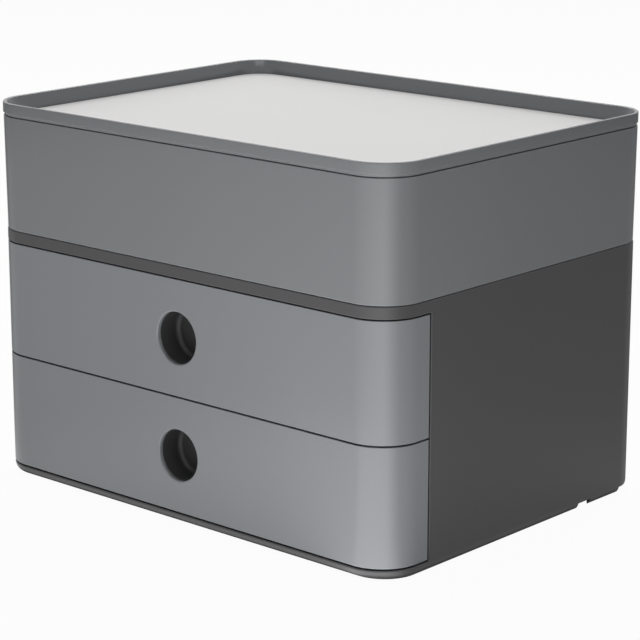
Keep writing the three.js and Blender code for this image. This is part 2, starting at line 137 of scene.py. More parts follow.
def lay_down() -> None:
    """Deselects everything, so that an operator touches only what is picked next."""
    for thing in bpy.context.view_layer.objects:
        thing.select_set(False)


def take_up(thing: bpy.types.Object) -> None:
    """Makes one object the only selected and the active one.

    Args:
        thing: The object that the next operator works on.
    """
    lay_down()
    thing.select_set(True)
    bpy.context.view_layer.objects.active = thing


def facing(x: float, y: float, z: float) -> FaceTest:
    """A test for faces that look one way.

    Args:
        x: Part of the direction along X.
        y: Part of the direction along Y.
        z: Part of the direction along Z.

    Returns:
        A test of a face's middle and normal.
    """
    way = Vector((x, y, z)).normalized()
    return lambda middle, normal: normal.dot(way) > SAME_WAY


def facing_at(x: float, y: float, z: float, place: float) -> FaceTest:
    """A test for faces that look one way and lie at one distance along it.

    Args:
        x: Part of the direction along X.
        y: Part of the direction along Y.
        z: Part of the direction along Z.
        place: The distance from the origin along the direction.

    Returns:
        A test of a face's middle and normal.
    """
    way = Vector((x, y, z)).normalized()
    return lambda middle, normal: normal.dot(way) > SAME_WAY and abs(middle.dot(way) - place) < SAME_PLACE


def upright_edges(middle: Vector, way: Vector) -> bool:
    """Whether an edge stands upright."""
    return abs(way.z) > SAME_WAY


def front_uprights(middle: Vector, way: Vector) -> bool:
    """Whether an edge stands upright in the front half of the unit."""
    return upright_edges(middle, way) and middle.y < 0


def through_edges(middle: Vector, way: Vector) -> bool:
    """Whether an edge runs straight from front to rear."""
    return abs(way.y) > SAME_WAY


def edges_at_height(height: float) -> EdgeTest:
    """A test for edges that lie level at one height.

    Args:
        height: The height above the standing surface.

    Returns:
        A test of an edge's middle and direction.
    """
    return lambda middle, way: abs(way.z) < 1 - SAME_WAY and abs(middle.z - height) < SAME_PLACE


def edges_at_depth(depth: float) -> EdgeTest:
    """A test for edges that lie at one place from front to rear.

    Args:
        depth: The place along Y.

    Returns:
        A test of an edge's middle and direction.
    """
    return lambda middle, way: abs(middle.y - depth) < SAME_PLACE


class Workpiece:
    """One piece on the bench, shaped in edit mode from a primitive that already lies in its place."""

    def __init__(self, thing: bpy.types.Object) -> None:
        """Keeps the object that is shaped.

        Args:
            thing: A mesh object at the origin, unturned and unscaled.
        """
        self.thing = thing

    @classmethod
    def settled(cls, name: str) -> "Workpiece":
        """Names the primitive that was just added and moves its place into its mesh.

        Args:
            name: The piece's name.

        Returns:
            The piece, ready for shaping.
        """
        thing = bpy.context.active_object
        thing.name = name
        bpy.ops.object.transform_apply(location=True, rotation=True, scale=True)
        return cls(thing)

    @classmethod
    def block(cls, name: str, low: Sequence[float], high: Sequence[float]) -> "Workpiece":
        """Starts a piece as a block.

        Args:
            name: The piece's name.
            low: Its lowest corner.
            high: Its highest corner.

        Returns:
            The block.
        """
        lay_down()
        size = Vector(high) - Vector(low)
        middle = (Vector(low) + Vector(high)) / 2
        bpy.ops.mesh.primitive_cube_add(size=1, location=middle, scale=size)
        return cls.settled(name)

    @classmethod
    def beside(cls, name: str, hand: Hand, across: Span, along: Span, height: Span) -> "Workpiece":
        """Starts a piece as a block on one side of the unit.

        Args:
            name: The piece's name.
            hand: The side.
            across: Its distances from the middle plane.
            along: Its limits along Y.
            height: Its limits along Z.

        Returns:
            The block.
        """
        near, far = sorted(hand.sign * distance for distance in across)
        return cls.block(name, (near, along[0], height[0]), (far, along[1], height[1]))

    @classmethod
    def drum(
        cls, name: str, radius: float, middle: Sequence[float], length: float, axis: Axis, sides: int
    ) -> "Workpiece":
        """Starts a piece as a round drum.

        Args:
            name: The piece's name.
            radius: The drum's radius.
            middle: The middle of the drum.
            length: The drum's length along its axis.
            axis: The direction that it lies along.
            sides: The number of facets round it.

        Returns:
            The drum.
        """
        lay_down()
        bpy.ops.mesh.primitive_cylinder_add(
            vertices=sides, radius=radius, depth=length, location=middle, rotation=axis.value
        )
        return cls.settled(name)

    @contextmanager
    def editing(self, kind: str) -> Iterator[None]:
        """Opens the piece in edit mode with nothing selected.

        Args:
            kind: FACE, EDGE or VERT, which is what is picked next.

        Yields:
            Nothing.
        """
        take_up(self.thing)
        bpy.ops.object.mode_set(mode="EDIT")
        bpy.ops.mesh.select_mode(type=kind)
        bpy.ops.mesh.select_all(action="DESELECT")
        try:
            yield
        finally:
            bpy.ops.object.mode_set(mode="OBJECT")

    def pick_faces(self, test: FaceTest) -> None:
        """Selects the faces that pass a test.

        Args:
            test: A test of a face's middle and normal.

        Raises:
            ValueError: No face passed, so the shape isn't what the caller takes it for.
        """
        mesh = bmesh.from_edit_mesh(self.thing.data)
        chosen = [face for face in mesh.faces if test(face.calc_center_median(), face.normal)]
        if not chosen:
            raise ValueError(f"{self.thing.name}: no face was picked")
        for face in chosen:
            face.select_set(True)
        bmesh.update_edit_mesh(self.thing.data)

    def pick_edges(self, test: EdgeTest) -> None:
        """Selects the real corners among the edges that pass a test.

        Args:
            test: A test of an edge's middle and direction.

        Raises:
            ValueError: No edge passed, so the shape isn't what the caller takes it for.
        """
        mesh = bmesh.from_edit_mesh(self.thing.data)
        chosen = []
        for edge in mesh.edges:
            first, second = (vertex.co for vertex in edge.verts)
            way = (second - first).normalized()
            if edge.calc_face_angle(0) > REAL_CORNER and test((first + second) / 2, way):
                chosen.append(edge)
        if not chosen:
            raise ValueError(f"{self.thing.name}: no edge was picked")
        for edge in chosen:
            edge.select_set(True)
        bmesh.update_edit_mesh(self.thing.data)

    def round_edges(self, test: EdgeTest, radius: float, steps: int) -> "Workpiece":
        """Rounds the picked edges.

        Args:
            test: A test of an edge's middle and direction.
            radius: The radius of the rounding.
            steps: The number of facets across it.

        Returns:
            The piece itself.
        """
        with self.editing("EDGE"):
            self.pick_edges(test)
            bpy.ops.mesh.bevel(
                affect="EDGES",
                offset_type="OFFSET",
                offset=radius,
                segments=steps,
                profile=ROUND_PROFILE,
                clamp_overlap=False,
            )
        return self

    def pick_inside(self, test: FaceTest, insets: Sequence[float]) -> None:
        """Selects the faces that pass a test and insets them, once for each width.

        Args:
            test: A test of a face's middle and normal.
            insets: The widths of the rims that are left, from the outside in.
        """
        self.pick_faces(test)
        for width in insets:
            bpy.ops.mesh.inset(thickness=width, use_even_offset=True)

    def push(self, test: FaceTest, move: Sequence[float], insets: Sequence[float] = ()) -> "Workpiece":
        """Insets the picked faces and extrudes what is left inside, out or in, with upright walls.

        Args:
            test: A test of a face's middle and normal.
            move: The way that the inner face goes.
            insets: The widths of the rims that are left, from the outside in.

        Returns:
            The piece itself.
        """
        with self.editing("FACE"):
            self.pick_inside(test, insets)
            bpy.ops.mesh.extrude_region_move(TRANSFORM_OT_translate={"value": tuple(move)})
        return self

    def dish(self, test: FaceTest, move: Sequence[float], insets: Sequence[float]) -> "Workpiece":
        """Insets the picked faces and moves what is left inside, so that the last rim becomes a sloping wall.

        Args:
            test: A test of a face's middle and normal.
            move: The way that the inner face goes.
            insets: The widths of the rims, from the outside in.

        Returns:
            The piece itself.
        """
        with self.editing("FACE"):
            self.pick_inside(test, insets)
            bpy.ops.transform.translate(value=tuple(move))
        return self

    def taper(self, test: FaceTest, shares: Sequence[float], about: Sequence[float]) -> "Workpiece":
        """Draws the picked faces in or out about a point, which gives the walls their draft.

        Args:
            test: A test of a face's middle and normal.
            shares: The scale along X, Y and Z.
            about: The point that stays.

        Returns:
            The piece itself.
        """
        with self.editing("FACE"):
            self.pick_faces(test)
            bpy.ops.transform.resize(value=tuple(shares), center_override=tuple(about))
        return self

    def resize_ring(self, height: float, shares: Sequence[float]) -> "Workpiece":
        """Scales the points at one height about the unit's middle.

        Args:
            height: The height above the standing surface.
            shares: The scale along X, Y and Z.

        Returns:
            The piece itself.
        """
        with self.editing("VERT"):
            mesh = bmesh.from_edit_mesh(self.thing.data)
            for vertex in mesh.verts:
                vertex.select_set(abs(vertex.co.z - height) < SAME_PLACE)
            bmesh.update_edit_mesh(self.thing.data)
            bpy.ops.transform.resize(value=tuple(shares), center_override=(0, 0, height))
        return self

    def slice_at(self, place: Sequence[float], way: Sequence[float]) -> "Workpiece":
        """Scores the piece along a plane, which adds edges there and takes nothing away.

        Args:
            place: A point on the plane.
            way: The plane's normal.

        Returns:
            The piece itself.
        """
        with self.editing("FACE"):
            bpy.ops.mesh.select_all(action="SELECT")
            bpy.ops.mesh.bisect(plane_co=tuple(place), plane_no=tuple(way))
        return self

    def weld(self, reach: float) -> "Workpiece":
        """Merges corners that lie close together.

        Args:
            reach: The distance that still counts as close.

        Returns:
            The piece itself.
        """
        with self.editing("FACE"):
            bpy.ops.mesh.select_all(action="SELECT")
            bpy.ops.mesh.remove_doubles(threshold=reach)
        return self

    def bridge_open_ends(self) -> "Workpiece":
        """Joins the two open rings of a sheet by a wall between them.

        Returns:
            The piece itself.
        """
        with self.editing("EDGE"):
            bpy.ops.mesh.select_non_manifold(use_wire=False, use_multi_face=False, use_non_contiguous=False)
            bpy.ops.mesh.bridge_edge_loops()
        return self

    def open_up(self, test: FaceTest) -> "Workpiece":
        """Deletes the picked faces.

        Args:
            test: A test of a face's middle and normal.

        Returns:
            The piece itself.
        """
        with self.editing("FACE"):
            self.pick_faces(test)
            bpy.ops.mesh.delete(type="FACE")
        return self

    def apply(self, kind: str, **settings: object) -> "Workpiece":
        """Adds a modifier and applies it.

        Args:
            kind: The modifier's type.
            **settings: Its settings.

        Returns:
            The piece itself.
        """
        take_up(self.thing)
        modifier = self.thing.modifiers.new(kind.lower(), kind)
        for name, value in settings.items():
            setattr(modifier, name, value)
        bpy.ops.object.modifier_apply(modifier=modifier.name)
        return self

    def cut(self, *tools: "Workpiece") -> "Workpiece":
        """Takes the tools' shapes out of the piece and throws the tools away.

        Args:
            *tools: The pieces whose shapes are taken out.

        Returns:
            The piece itself.
        """
        for tool in tools:
            self.apply("BOOLEAN", operation="DIFFERENCE", solver="EXACT", object=tool.thing)
            bpy.data.objects.remove(tool.thing)
        return self

    def join(self, *additions: "Workpiece") -> "Workpiece":
        """Fuses the additions' shapes onto the piece and throws the additions away.

        Args:
            *additions: The pieces whose shapes are fused on.

        Returns:
            The piece itself.
        """
        for addition in additions:
            self.apply("BOOLEAN", operation="UNION", solver="EXACT", object=addition.thing)
            bpy.data.objects.remove(addition.thing)
        return self

    def shell(self, wall: float) -> "Workpiece":
        """Gives an open sheet a wall that grows inwards from it."""
        return self.apply("SOLIDIFY", thickness=wall, offset=-1, use_even_offset=True, use_rim=True)

    def finish(self, softness: float, steps: int = 3) -> "Workpiece":
        """Breaks every sharp edge and smooths the surface, with flat faces left flat.

        Args:
            softness: The width of the broken edges.
            steps: The number of facets across them.

        Returns:
            The piece itself.
        """
        sharp = {"limit_method": "ANGLE", "angle_limit": SMOOTH_ANGLE}
        self.apply("BEVEL", width=softness, segments=steps, use_clamp_overlap=False, **sharp)
        take_up(self.thing)
        bpy.ops.object.shade_smooth_by_angle(angle=SMOOTH_ANGLE)
        return self.apply("WEIGHTED_NORMAL", keep_sharp=True)

    def twin(self, name: str, move: Sequence[float]) -> "Workpiece":
        """Copies the piece, with a mesh of its own, to another place.

        Args:
            name: The copy's name.
            move: The way from this piece to the copy.

        Returns:
            The copy.
        """
        take_up(self.thing)
        bpy.ops.object.duplicate(linked=False)
        bpy.ops.transform.translate(value=tuple(move))
        return self.settled(name)


def oblong(
    name: str, middle: Vector, length: float, height: float, depth: float, steps: int = 12
) -> Workpiece:
    """A bar with round ends that lies across the unit, as the cable outlets do.

    Args:
        name: The piece's name.
        middle: Its middle.
        length: Its length along X, round ends included.
        height: Its height along Z.
        depth: Its depth along Y.
        steps: The number of facets in a quarter of its ends.

    Returns:
        The bar.
    """
    half = Vector((length, depth, height)) / 2
    bar = Workpiece.block(name, middle - half, middle + half)
    bar.round_edges(through_edges, height / 2 - SAME_PLACE, steps)
    return bar.weld(3 * SAME_PLACE)


class Signal:
    """A number that changes over the surface: a node's output, with Python's arithmetic on it."""

    def __init__(self, bench: "ShaderBench", socket: bpy.types.NodeSocket) -> None:
        """Keeps the socket and the bench that adds nodes after it.

        Args:
            bench: The material's bench.
            socket: The output that carries the number.
        """
        self.bench = bench
        self.socket = socket

    def through(self, operation: str, *values: "Signal | float") -> "Signal":
        """Runs values through a Math node.

        Args:
            operation: The node's operation.
            *values: The node's inputs in order.

        Returns:
            The node's result.
        """
        made = self.bench.node("ShaderNodeMath", {"operation": operation}, dict(enumerate(values)))
        return Signal(self.bench, made.outputs[0])

    def __add__(self, other: "Signal | float") -> "Signal":
        """Sum."""
        return self.through("ADD", self, other)

    __radd__ = __add__

    def __sub__(self, other: "Signal | float") -> "Signal":
        """Difference."""
        return self.through("SUBTRACT", self, other)

    def __rsub__(self, other: "Signal | float") -> "Signal":
        """Difference, the other way round."""
        return self.through("SUBTRACT", other, self)

    def __mul__(self, other: "Signal | float") -> "Signal":
        """Product."""
        return self.through("MULTIPLY", self, other)

    __rmul__ = __mul__

    def rising(self, start: float, end: float) -> "Signal":
        """A smooth step over this number.

        Args:
            start: Where the step leaves nought.
            end: Where it reaches one.

        Returns:
            The step.
        """
        settings = {"interpolation_type": "SMOOTHSTEP"}
        limits = {"Value": self, "From Min": start, "From Max": end}
        made = self.bench.node("ShaderNodeMapRange", settings, limits)
        return Signal(self.bench, made.outputs[0])


@dataclass(frozen=True)
class Pattern:
    """A soft noise over a surface: its features' size, how many finer layers it has, and its stretch."""

    size: float
    layers: float = 2.0
    stretch: Triple = (1.0, 1.0, 1.0)


class ShaderBench:
    """Builds the nodes of one material, or of the surroundings."""

    def __init__(self, owner: bpy.types.Material | bpy.types.World) -> None:
        """Clears the owner's nodes.

        Args:
            owner: A new material, or the surroundings.
        """
        self.owner = owner
        owner.use_nodes = True
        self.tree = owner.node_tree
        self.tree.nodes.clear()

    @classmethod
    def of_material(cls, name: str) -> "ShaderBench":
        """Starts a new material of the given name."""
        return cls(bpy.data.materials.new(name))

    def node(
        self, kind: str, settings: Settings | None = None, inputs: Inputs | None = None
    ) -> bpy.types.ShaderNode:
        """Adds a node.

        Args:
            kind: The node's type.
            settings: Its settings, which are set first.
            inputs: Values or links for its sockets, by name or place.

        Returns:
            The node.
        """
        made = self.tree.nodes.new(kind)
        for name, value in (settings or {}).items():
            setattr(made, name, value)
        for place, value in (inputs or {}).items():
            self.feed(made.inputs[place], value)
        return made

    def feed(self, socket: bpy.types.NodeSocket, value: object) -> None:
        """Links an output to a socket, or sets the socket's own value.

        Args:
            socket: The input socket.
            value: A signal, an output socket, a number or a colour.
        """
        if isinstance(value, Signal):
            value = value.socket
        if isinstance(value, bpy.types.NodeSocket):
            self.tree.links.new(value, socket)
        elif isinstance(value, tuple) and len(value) == 3 and socket.type == "RGBA":
            socket.default_value = (*value, 1.0)
        else:
            socket.default_value = value

    def place(self) -> bpy.types.NodeSocket:
        """The object's own coordinates, in metres."""
        return self.node("ShaderNodeTexCoord").outputs["Object"]

    def noise(self, pattern: Pattern) -> Signal:
        """Soft noise between nought and one.

        Args:
            pattern: The noise's size, layers and stretch.

        Returns:
            The noise.
        """
        mapped = self.node("ShaderNodeMapping", {}, {"Vector": self.place(), "Scale": pattern.stretch})
        inputs = {"Vector": mapped.outputs[0], "Scale": 1 / pattern.size, "Detail": pattern.layers}
        return Signal(self, self.node("ShaderNodeTexNoise", {}, inputs).outputs[0])

    def edge_mask(self, reach: float, least_turn: float = 0.01, full_turn: float = 0.2) -> Signal:
        """One on the piece's outer edges and nought on its faces.

        Args:
            reach: How far from an edge the mask reaches.
            least_turn: How far the surface turns, as one minus a cosine, where the mask starts.
            full_turn: How far it turns where the mask is full.

        Returns:
            The mask.
        """
        rounded = self.node("ShaderNodeBevel", {"samples": 4}, {"Radius": reach}).outputs[0]
        plain = self.node("ShaderNodeNewGeometry").outputs["Normal"]
        turned = self.node("ShaderNodeVectorMath", {"operation": "DOT_PRODUCT"}, {0: rounded, 1: plain})
        return (1 - Signal(self, turned.outputs["Value"])).rising(least_turn, full_turn)

    def mixed(self, share: "Signal | float", first: object, second: object) -> bpy.types.NodeSocket:
        """Mixes two colours.

        Args:
            share: How much of the second colour shows.
            first: The first colour or its socket.
            second: The second colour or its socket.

        Returns:
            The mixed colour's socket.
        """
        colours = {"Factor": share, FIRST_COLOUR_SOCKET: first, SECOND_COLOUR_SOCKET: second}
        return self.node("ShaderNodeMix", {"data_type": "RGBA"}, colours).outputs[MIXED_COLOUR_SOCKET]

    def skin(self, colour: object, roughness: Signal, height: Signal) -> bpy.types.Material:
        """Ends the nodes in the plain surface of a piece.

        Args:
            colour: The surface's colour.
            roughness: Its roughness.
            height: The height of its sinks and grain, in metres.

        Returns:
            The finished material.
        """
        relief = {"Strength": 1.0, "Distance": 1.0, "Height": height}
        normal = self.node("ShaderNodeBump", {}, relief).outputs[0]
        inputs = {"Base Color": colour, "Roughness": roughness, "Normal": normal}
        return self.surface(self.node("ShaderNodeBsdfPrincipled", {}, inputs).outputs[0])

    def surface(self, shader: bpy.types.NodeSocket) -> bpy.types.Material | bpy.types.World:
        """Ends the nodes in a surface shader.

        Args:
            shader: The shader's output socket.

        Returns:
            The finished material or surroundings.
        """
        sky = isinstance(self.owner, bpy.types.World)
        kind = "ShaderNodeOutputWorld" if sky else "ShaderNodeOutputMaterial"
        self.node(kind, {}, {"Surface": shader})
        return self.owner

    def ray(self, *kinds: str) -> Signal:
        """A switch by the kind of ray that meets the surface.

        Args:
            *kinds: The kinds, as the Light Path node names them.

        Returns:
            One for rays of those kinds and nought for others.
        """
        outputs = self.node("ShaderNodeLightPath").outputs
        total = Signal(self, outputs[kinds[0]])
        for kind in kinds[1:]:
            total = total.through("MAXIMUM", total, Signal(self, outputs[kind]))
        return total


def shaded(colour: Colour, share: float) -> Colour:
    """A colour made darker or lighter by a share of itself."""
    return tuple(part * share for part in colour)


@dataclass(frozen=True)
class Finish:
    """What a piece is made of, and the record's slot for it."""

    name: str
    slot: Slot
    colour: Colour
    roughness: float

    def material(self) -> bpy.types.Material:
        """The finish's material, built on its first use."""
        return bpy.data.materials.get(self.name) or self.mixed_material()

    def mixed_material(self) -> bpy.types.Material:
        """Builds the material's nodes, in a way of its own for each kind of finish.

        Raises:
            NotImplementedError: Always, because only the kinds of finish below are real.
        """
        raise NotImplementedError(self.name)


@dataclass(frozen=True)
class MouldedPlastic(Finish):
    """Moulded plastic, from high gloss to fine grain.

    The melt leaves faint clouds in the colour, the mould's polish or grain gives the bump, the walls sink a
    little as they cool, and handling rubs the outer edges.
    """

    clouds: Pattern = Pattern(70 * MM, layers=3.0, stretch=(1.0, 1.0, 0.45))
    cloud_share: float = 0.035
    specks: Pattern = Pattern(0.9 * MM, layers=1.0)
    speck_share: float = 0.02
    sinks: Pattern = Pattern(45 * MM, layers=1.0)
    sink_depth: float = 0.016 * MM
    grain: Pattern = Pattern(2.6 * MM)
    grain_depth: float = 0.0016 * MM
    wipes: Pattern = Pattern(28 * MM, layers=4.0, stretch=(0.5, 1.0, 1.6))
    wipe_swing: float = 0.05
    edge_reach: float = 0.7 * MM
    rubs: Pattern = Pattern(9 * MM, layers=3.0)
    rub_start: float = 0.3
    rub_full: float = 0.75
    rub_tone: float = 1.9
    rub_lift: float = 0.12
    rub_roughness: float = 0.08

    def mixed_material(self) -> bpy.types.Material:
        """Builds the material's nodes.

        Returns:
            The new material.
        """
        bench = ShaderBench.of_material(self.name)
        clouds = bench.noise(self.clouds)
        tone = clouds * (1 - self.speck_share) + bench.noise(self.specks) * self.speck_share
        darker = shaded(self.colour, 1 - self.cloud_share)
        body = bench.mixed(tone, darker, shaded(self.colour, 1 + self.cloud_share))
        rubs = bench.noise(self.rubs).rising(self.rub_start, self.rub_full)
        rubbed = bench.edge_mask(self.edge_reach) * rubs
        colour = bench.mixed(rubbed * self.rub_lift, body, shaded(self.colour, self.rub_tone))
        wiped = (bench.noise(self.wipes) - NOISE_MIDDLE) * self.wipe_swing
        roughness = wiped + rubbed * self.rub_roughness + self.roughness
        sunk = bench.noise(self.sinks) * self.sink_depth
        return bench.skin(colour, roughness, sunk + bench.noise(self.grain) * self.grain_depth)


@dataclass(frozen=True)
class SoftRubber(Finish):
    """Soft black rubber with a dusty bloom."""

    bloom: Colour = (0.05, 0.05, 0.05)
    dust: Pattern = Pattern(2.2 * MM, layers=5.0)
    dust_start: float = 0.45
    dust_full: float = 0.8
    dust_share: float = 0.5
    scuffs: Pattern = Pattern(6 * MM, layers=3.0)
    scuff_swing: float = 0.15
    pores: Pattern = Pattern(0.5 * MM)
    pore_depth: float = 0.02 * MM

    def mixed_material(self) -> bpy.types.Material:
        """Builds the material's nodes.

        Returns:
            The new material.
        """
        bench = ShaderBench.of_material(self.name)
        dusty = bench.noise(self.dust).rising(self.dust_start, self.dust_full)
        colour = bench.mixed(dusty * self.dust_share, self.colour, self.bloom)
        scuffed = (bench.noise(self.scuffs) - NOISE_MIDDLE) * self.scuff_swing
        return bench.skin(colour, scuffed + self.roughness, bench.noise(self.pores) * self.pore_depth)


GREY = (0.204, 0.212, 0.221)
# The drawer fronts' grey is the box's grey made about a tenth lighter: the same plastic, with the stronger
# light on the lower fronts painted into its colour.
PAINTED_LIT_FRONT_GREY = (0.224, 0.234, 0.247)
FRONT_GLOSS = MouldedPlastic("front_gloss", Slot.DRAWER_FRONT, PAINTED_LIT_FRONT_GREY, 0.15, wipe_swing=0.03)
BOX_GLOSS = MouldedPlastic("box_gloss", Slot.BOX, GREY, 0.17, wipe_swing=0.03)
LID_GLOSS = MouldedPlastic("lid_gloss", Slot.LID, GREY, 0.17, wipe_swing=0.03)
CASING_SATIN = MouldedPlastic(
    "casing_satin",
    Slot.CASING,
    colour=(0.062, 0.061, 0.064),
    roughness=0.36,
    sinks=Pattern(60 * MM, layers=1.0),
    sink_depth=0.012 * MM,
    grain=Pattern(0.8 * MM),
    grain_depth=0.002 * MM,
)
TRAY_SATIN = MouldedPlastic(
    "tray_satin",
    Slot.DRAWER_TRAY,
    colour=(0.05, 0.05, 0.052),
    roughness=0.5,
    grain=Pattern(0.7 * MM),
    grain_depth=0.003 * MM,
)
PLATE_SATIN = MouldedPlastic(
    "plate_satin",
    Slot.PLATE,
    colour=(0.785, 0.775, 0.77),
    roughness=0.42,
    cloud_share=0.012,
    sink_depth=0.008 * MM,
    grain=Pattern(0.6 * MM),
    grain_depth=0.002 * MM,
    rub_lift=0.0,
)
RUNNER_SLICK = MouldedPlastic("runner_slick", Slot.RUNNER, (0.03, 0.03, 0.031), 0.3)
FOOT_RUBBER = SoftRubber("foot_rubber", Slot.RUBBER, (0.015, 0.015, 0.016), 0.745)


def hand_over(piece: Workpiece, node: str, body: str, finish: Finish) -> None:
    """Dresses a finished piece and puts it in its node's place.

    Args:
        piece: The finished piece.
        node: The node that it stands for.
        body: The body that it rides on.
        finish: What it is made of.
    """
    piece.thing.data.materials.clear()
    piece.thing.data.materials.append(finish.material())
    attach(piece.thing, body)
    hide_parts(node)
    LOG.info("%s: %d faces, rides on %s", piece.thing.name, len(piece.thing.data.polygons), body)


def hand_over_four(piece: Workpiece, part: str, body: str, finish: Finish) -> None:
    """Copies the front left corner's piece to the other corners and hands over all four.

    Args:
        piece: The finished piece of the front left corner.
        part: The start of the four nodes' names, before the corner's name.
        body: The body that they ride on.
        finish: What they are made of.
    """
    first = f"{part}_{CORNERS[0]}"
    for corner in CORNERS[1:]:
        node = f"{part}_{corner}"
        copy = piece.twin(f"{node}_moulding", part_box(node)[0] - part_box(first)[0])
        hand_over(copy, node, body, finish)
    hand_over(piece, first, body, finish)


@dataclass
class CornerRound:
    """The outline that casing, drawer fronts, box and lid share: its corner radii, seen from above."""

    front: float = 21 * MM
    rear: float = 18 * MM
    steps: int = 32

    def depth(self, place: Vector, corner: Vector, inset: float) -> float:
        """How far a point lies inside the front part of a piece's outline.

        Args:
            place: The point.
            corner: The piece's highest corner, which gives its half width and half depth.
            inset: How far the piece's outline lies inside the shared one.

        Returns:
            The distance to the outline, nought on it.
        """
        radius = self.front - inset
        beside = abs(place.x) - (corner.x - radius)
        before = -place.y - (corner.y - radius)
        if beside > 0 and before > 0:
            return radius - math.hypot(beside, before)
        return radius - max(beside, before)

    def shape(self, piece: Workpiece, inset: float) -> Workpiece:
        """Rounds a block's four upright edges.

        Args:
            piece: The block.
            inset: How far the block's outline lies inside the shared one.

        Returns:
            The piece.
        """

        def rear_uprights(middle: Vector, way: Vector) -> bool:
            """Whether an edge is one of the rear corners."""
            return upright_edges(middle, way) and middle.y > 0 and abs(middle.x) > self.front

        piece.round_edges(front_uprights, self.front - inset, self.steps)
        return piece.round_edges(rear_uprights, self.rear - inset, self.steps)


@dataclass
class RubberDisc:
    """A round rubber foot or pad, hollow underneath but for a rim that it stands on."""

    hollow: float
    rim: float = 1.5 * MM
    rounding: float = 0.4 * MM
    rounding_steps: int = 4
    softness: float = 0.12 * MM
    softness_steps: int = 2
    sides: int = 64

    def build(self, name: str, low: Vector, high: Vector) -> Workpiece:
        """Builds the disc with its edges still unbroken.

        Args:
            name: The piece's name.
            low: The disc's lowest corner.
            high: The disc's highest corner.

        Returns:
            The disc.
        """
        radius = (high.x - low.x) / 2
        disc = Workpiece.drum(name, radius, (low + high) / 2, high.z - low.z, Axis.Z, self.sides)
        disc.round_edges(edges_at_height(low.z), self.rounding, self.rounding_steps)
        return disc.push(facing(0, 0, -1), (0, 0, self.hollow), [self.rim])


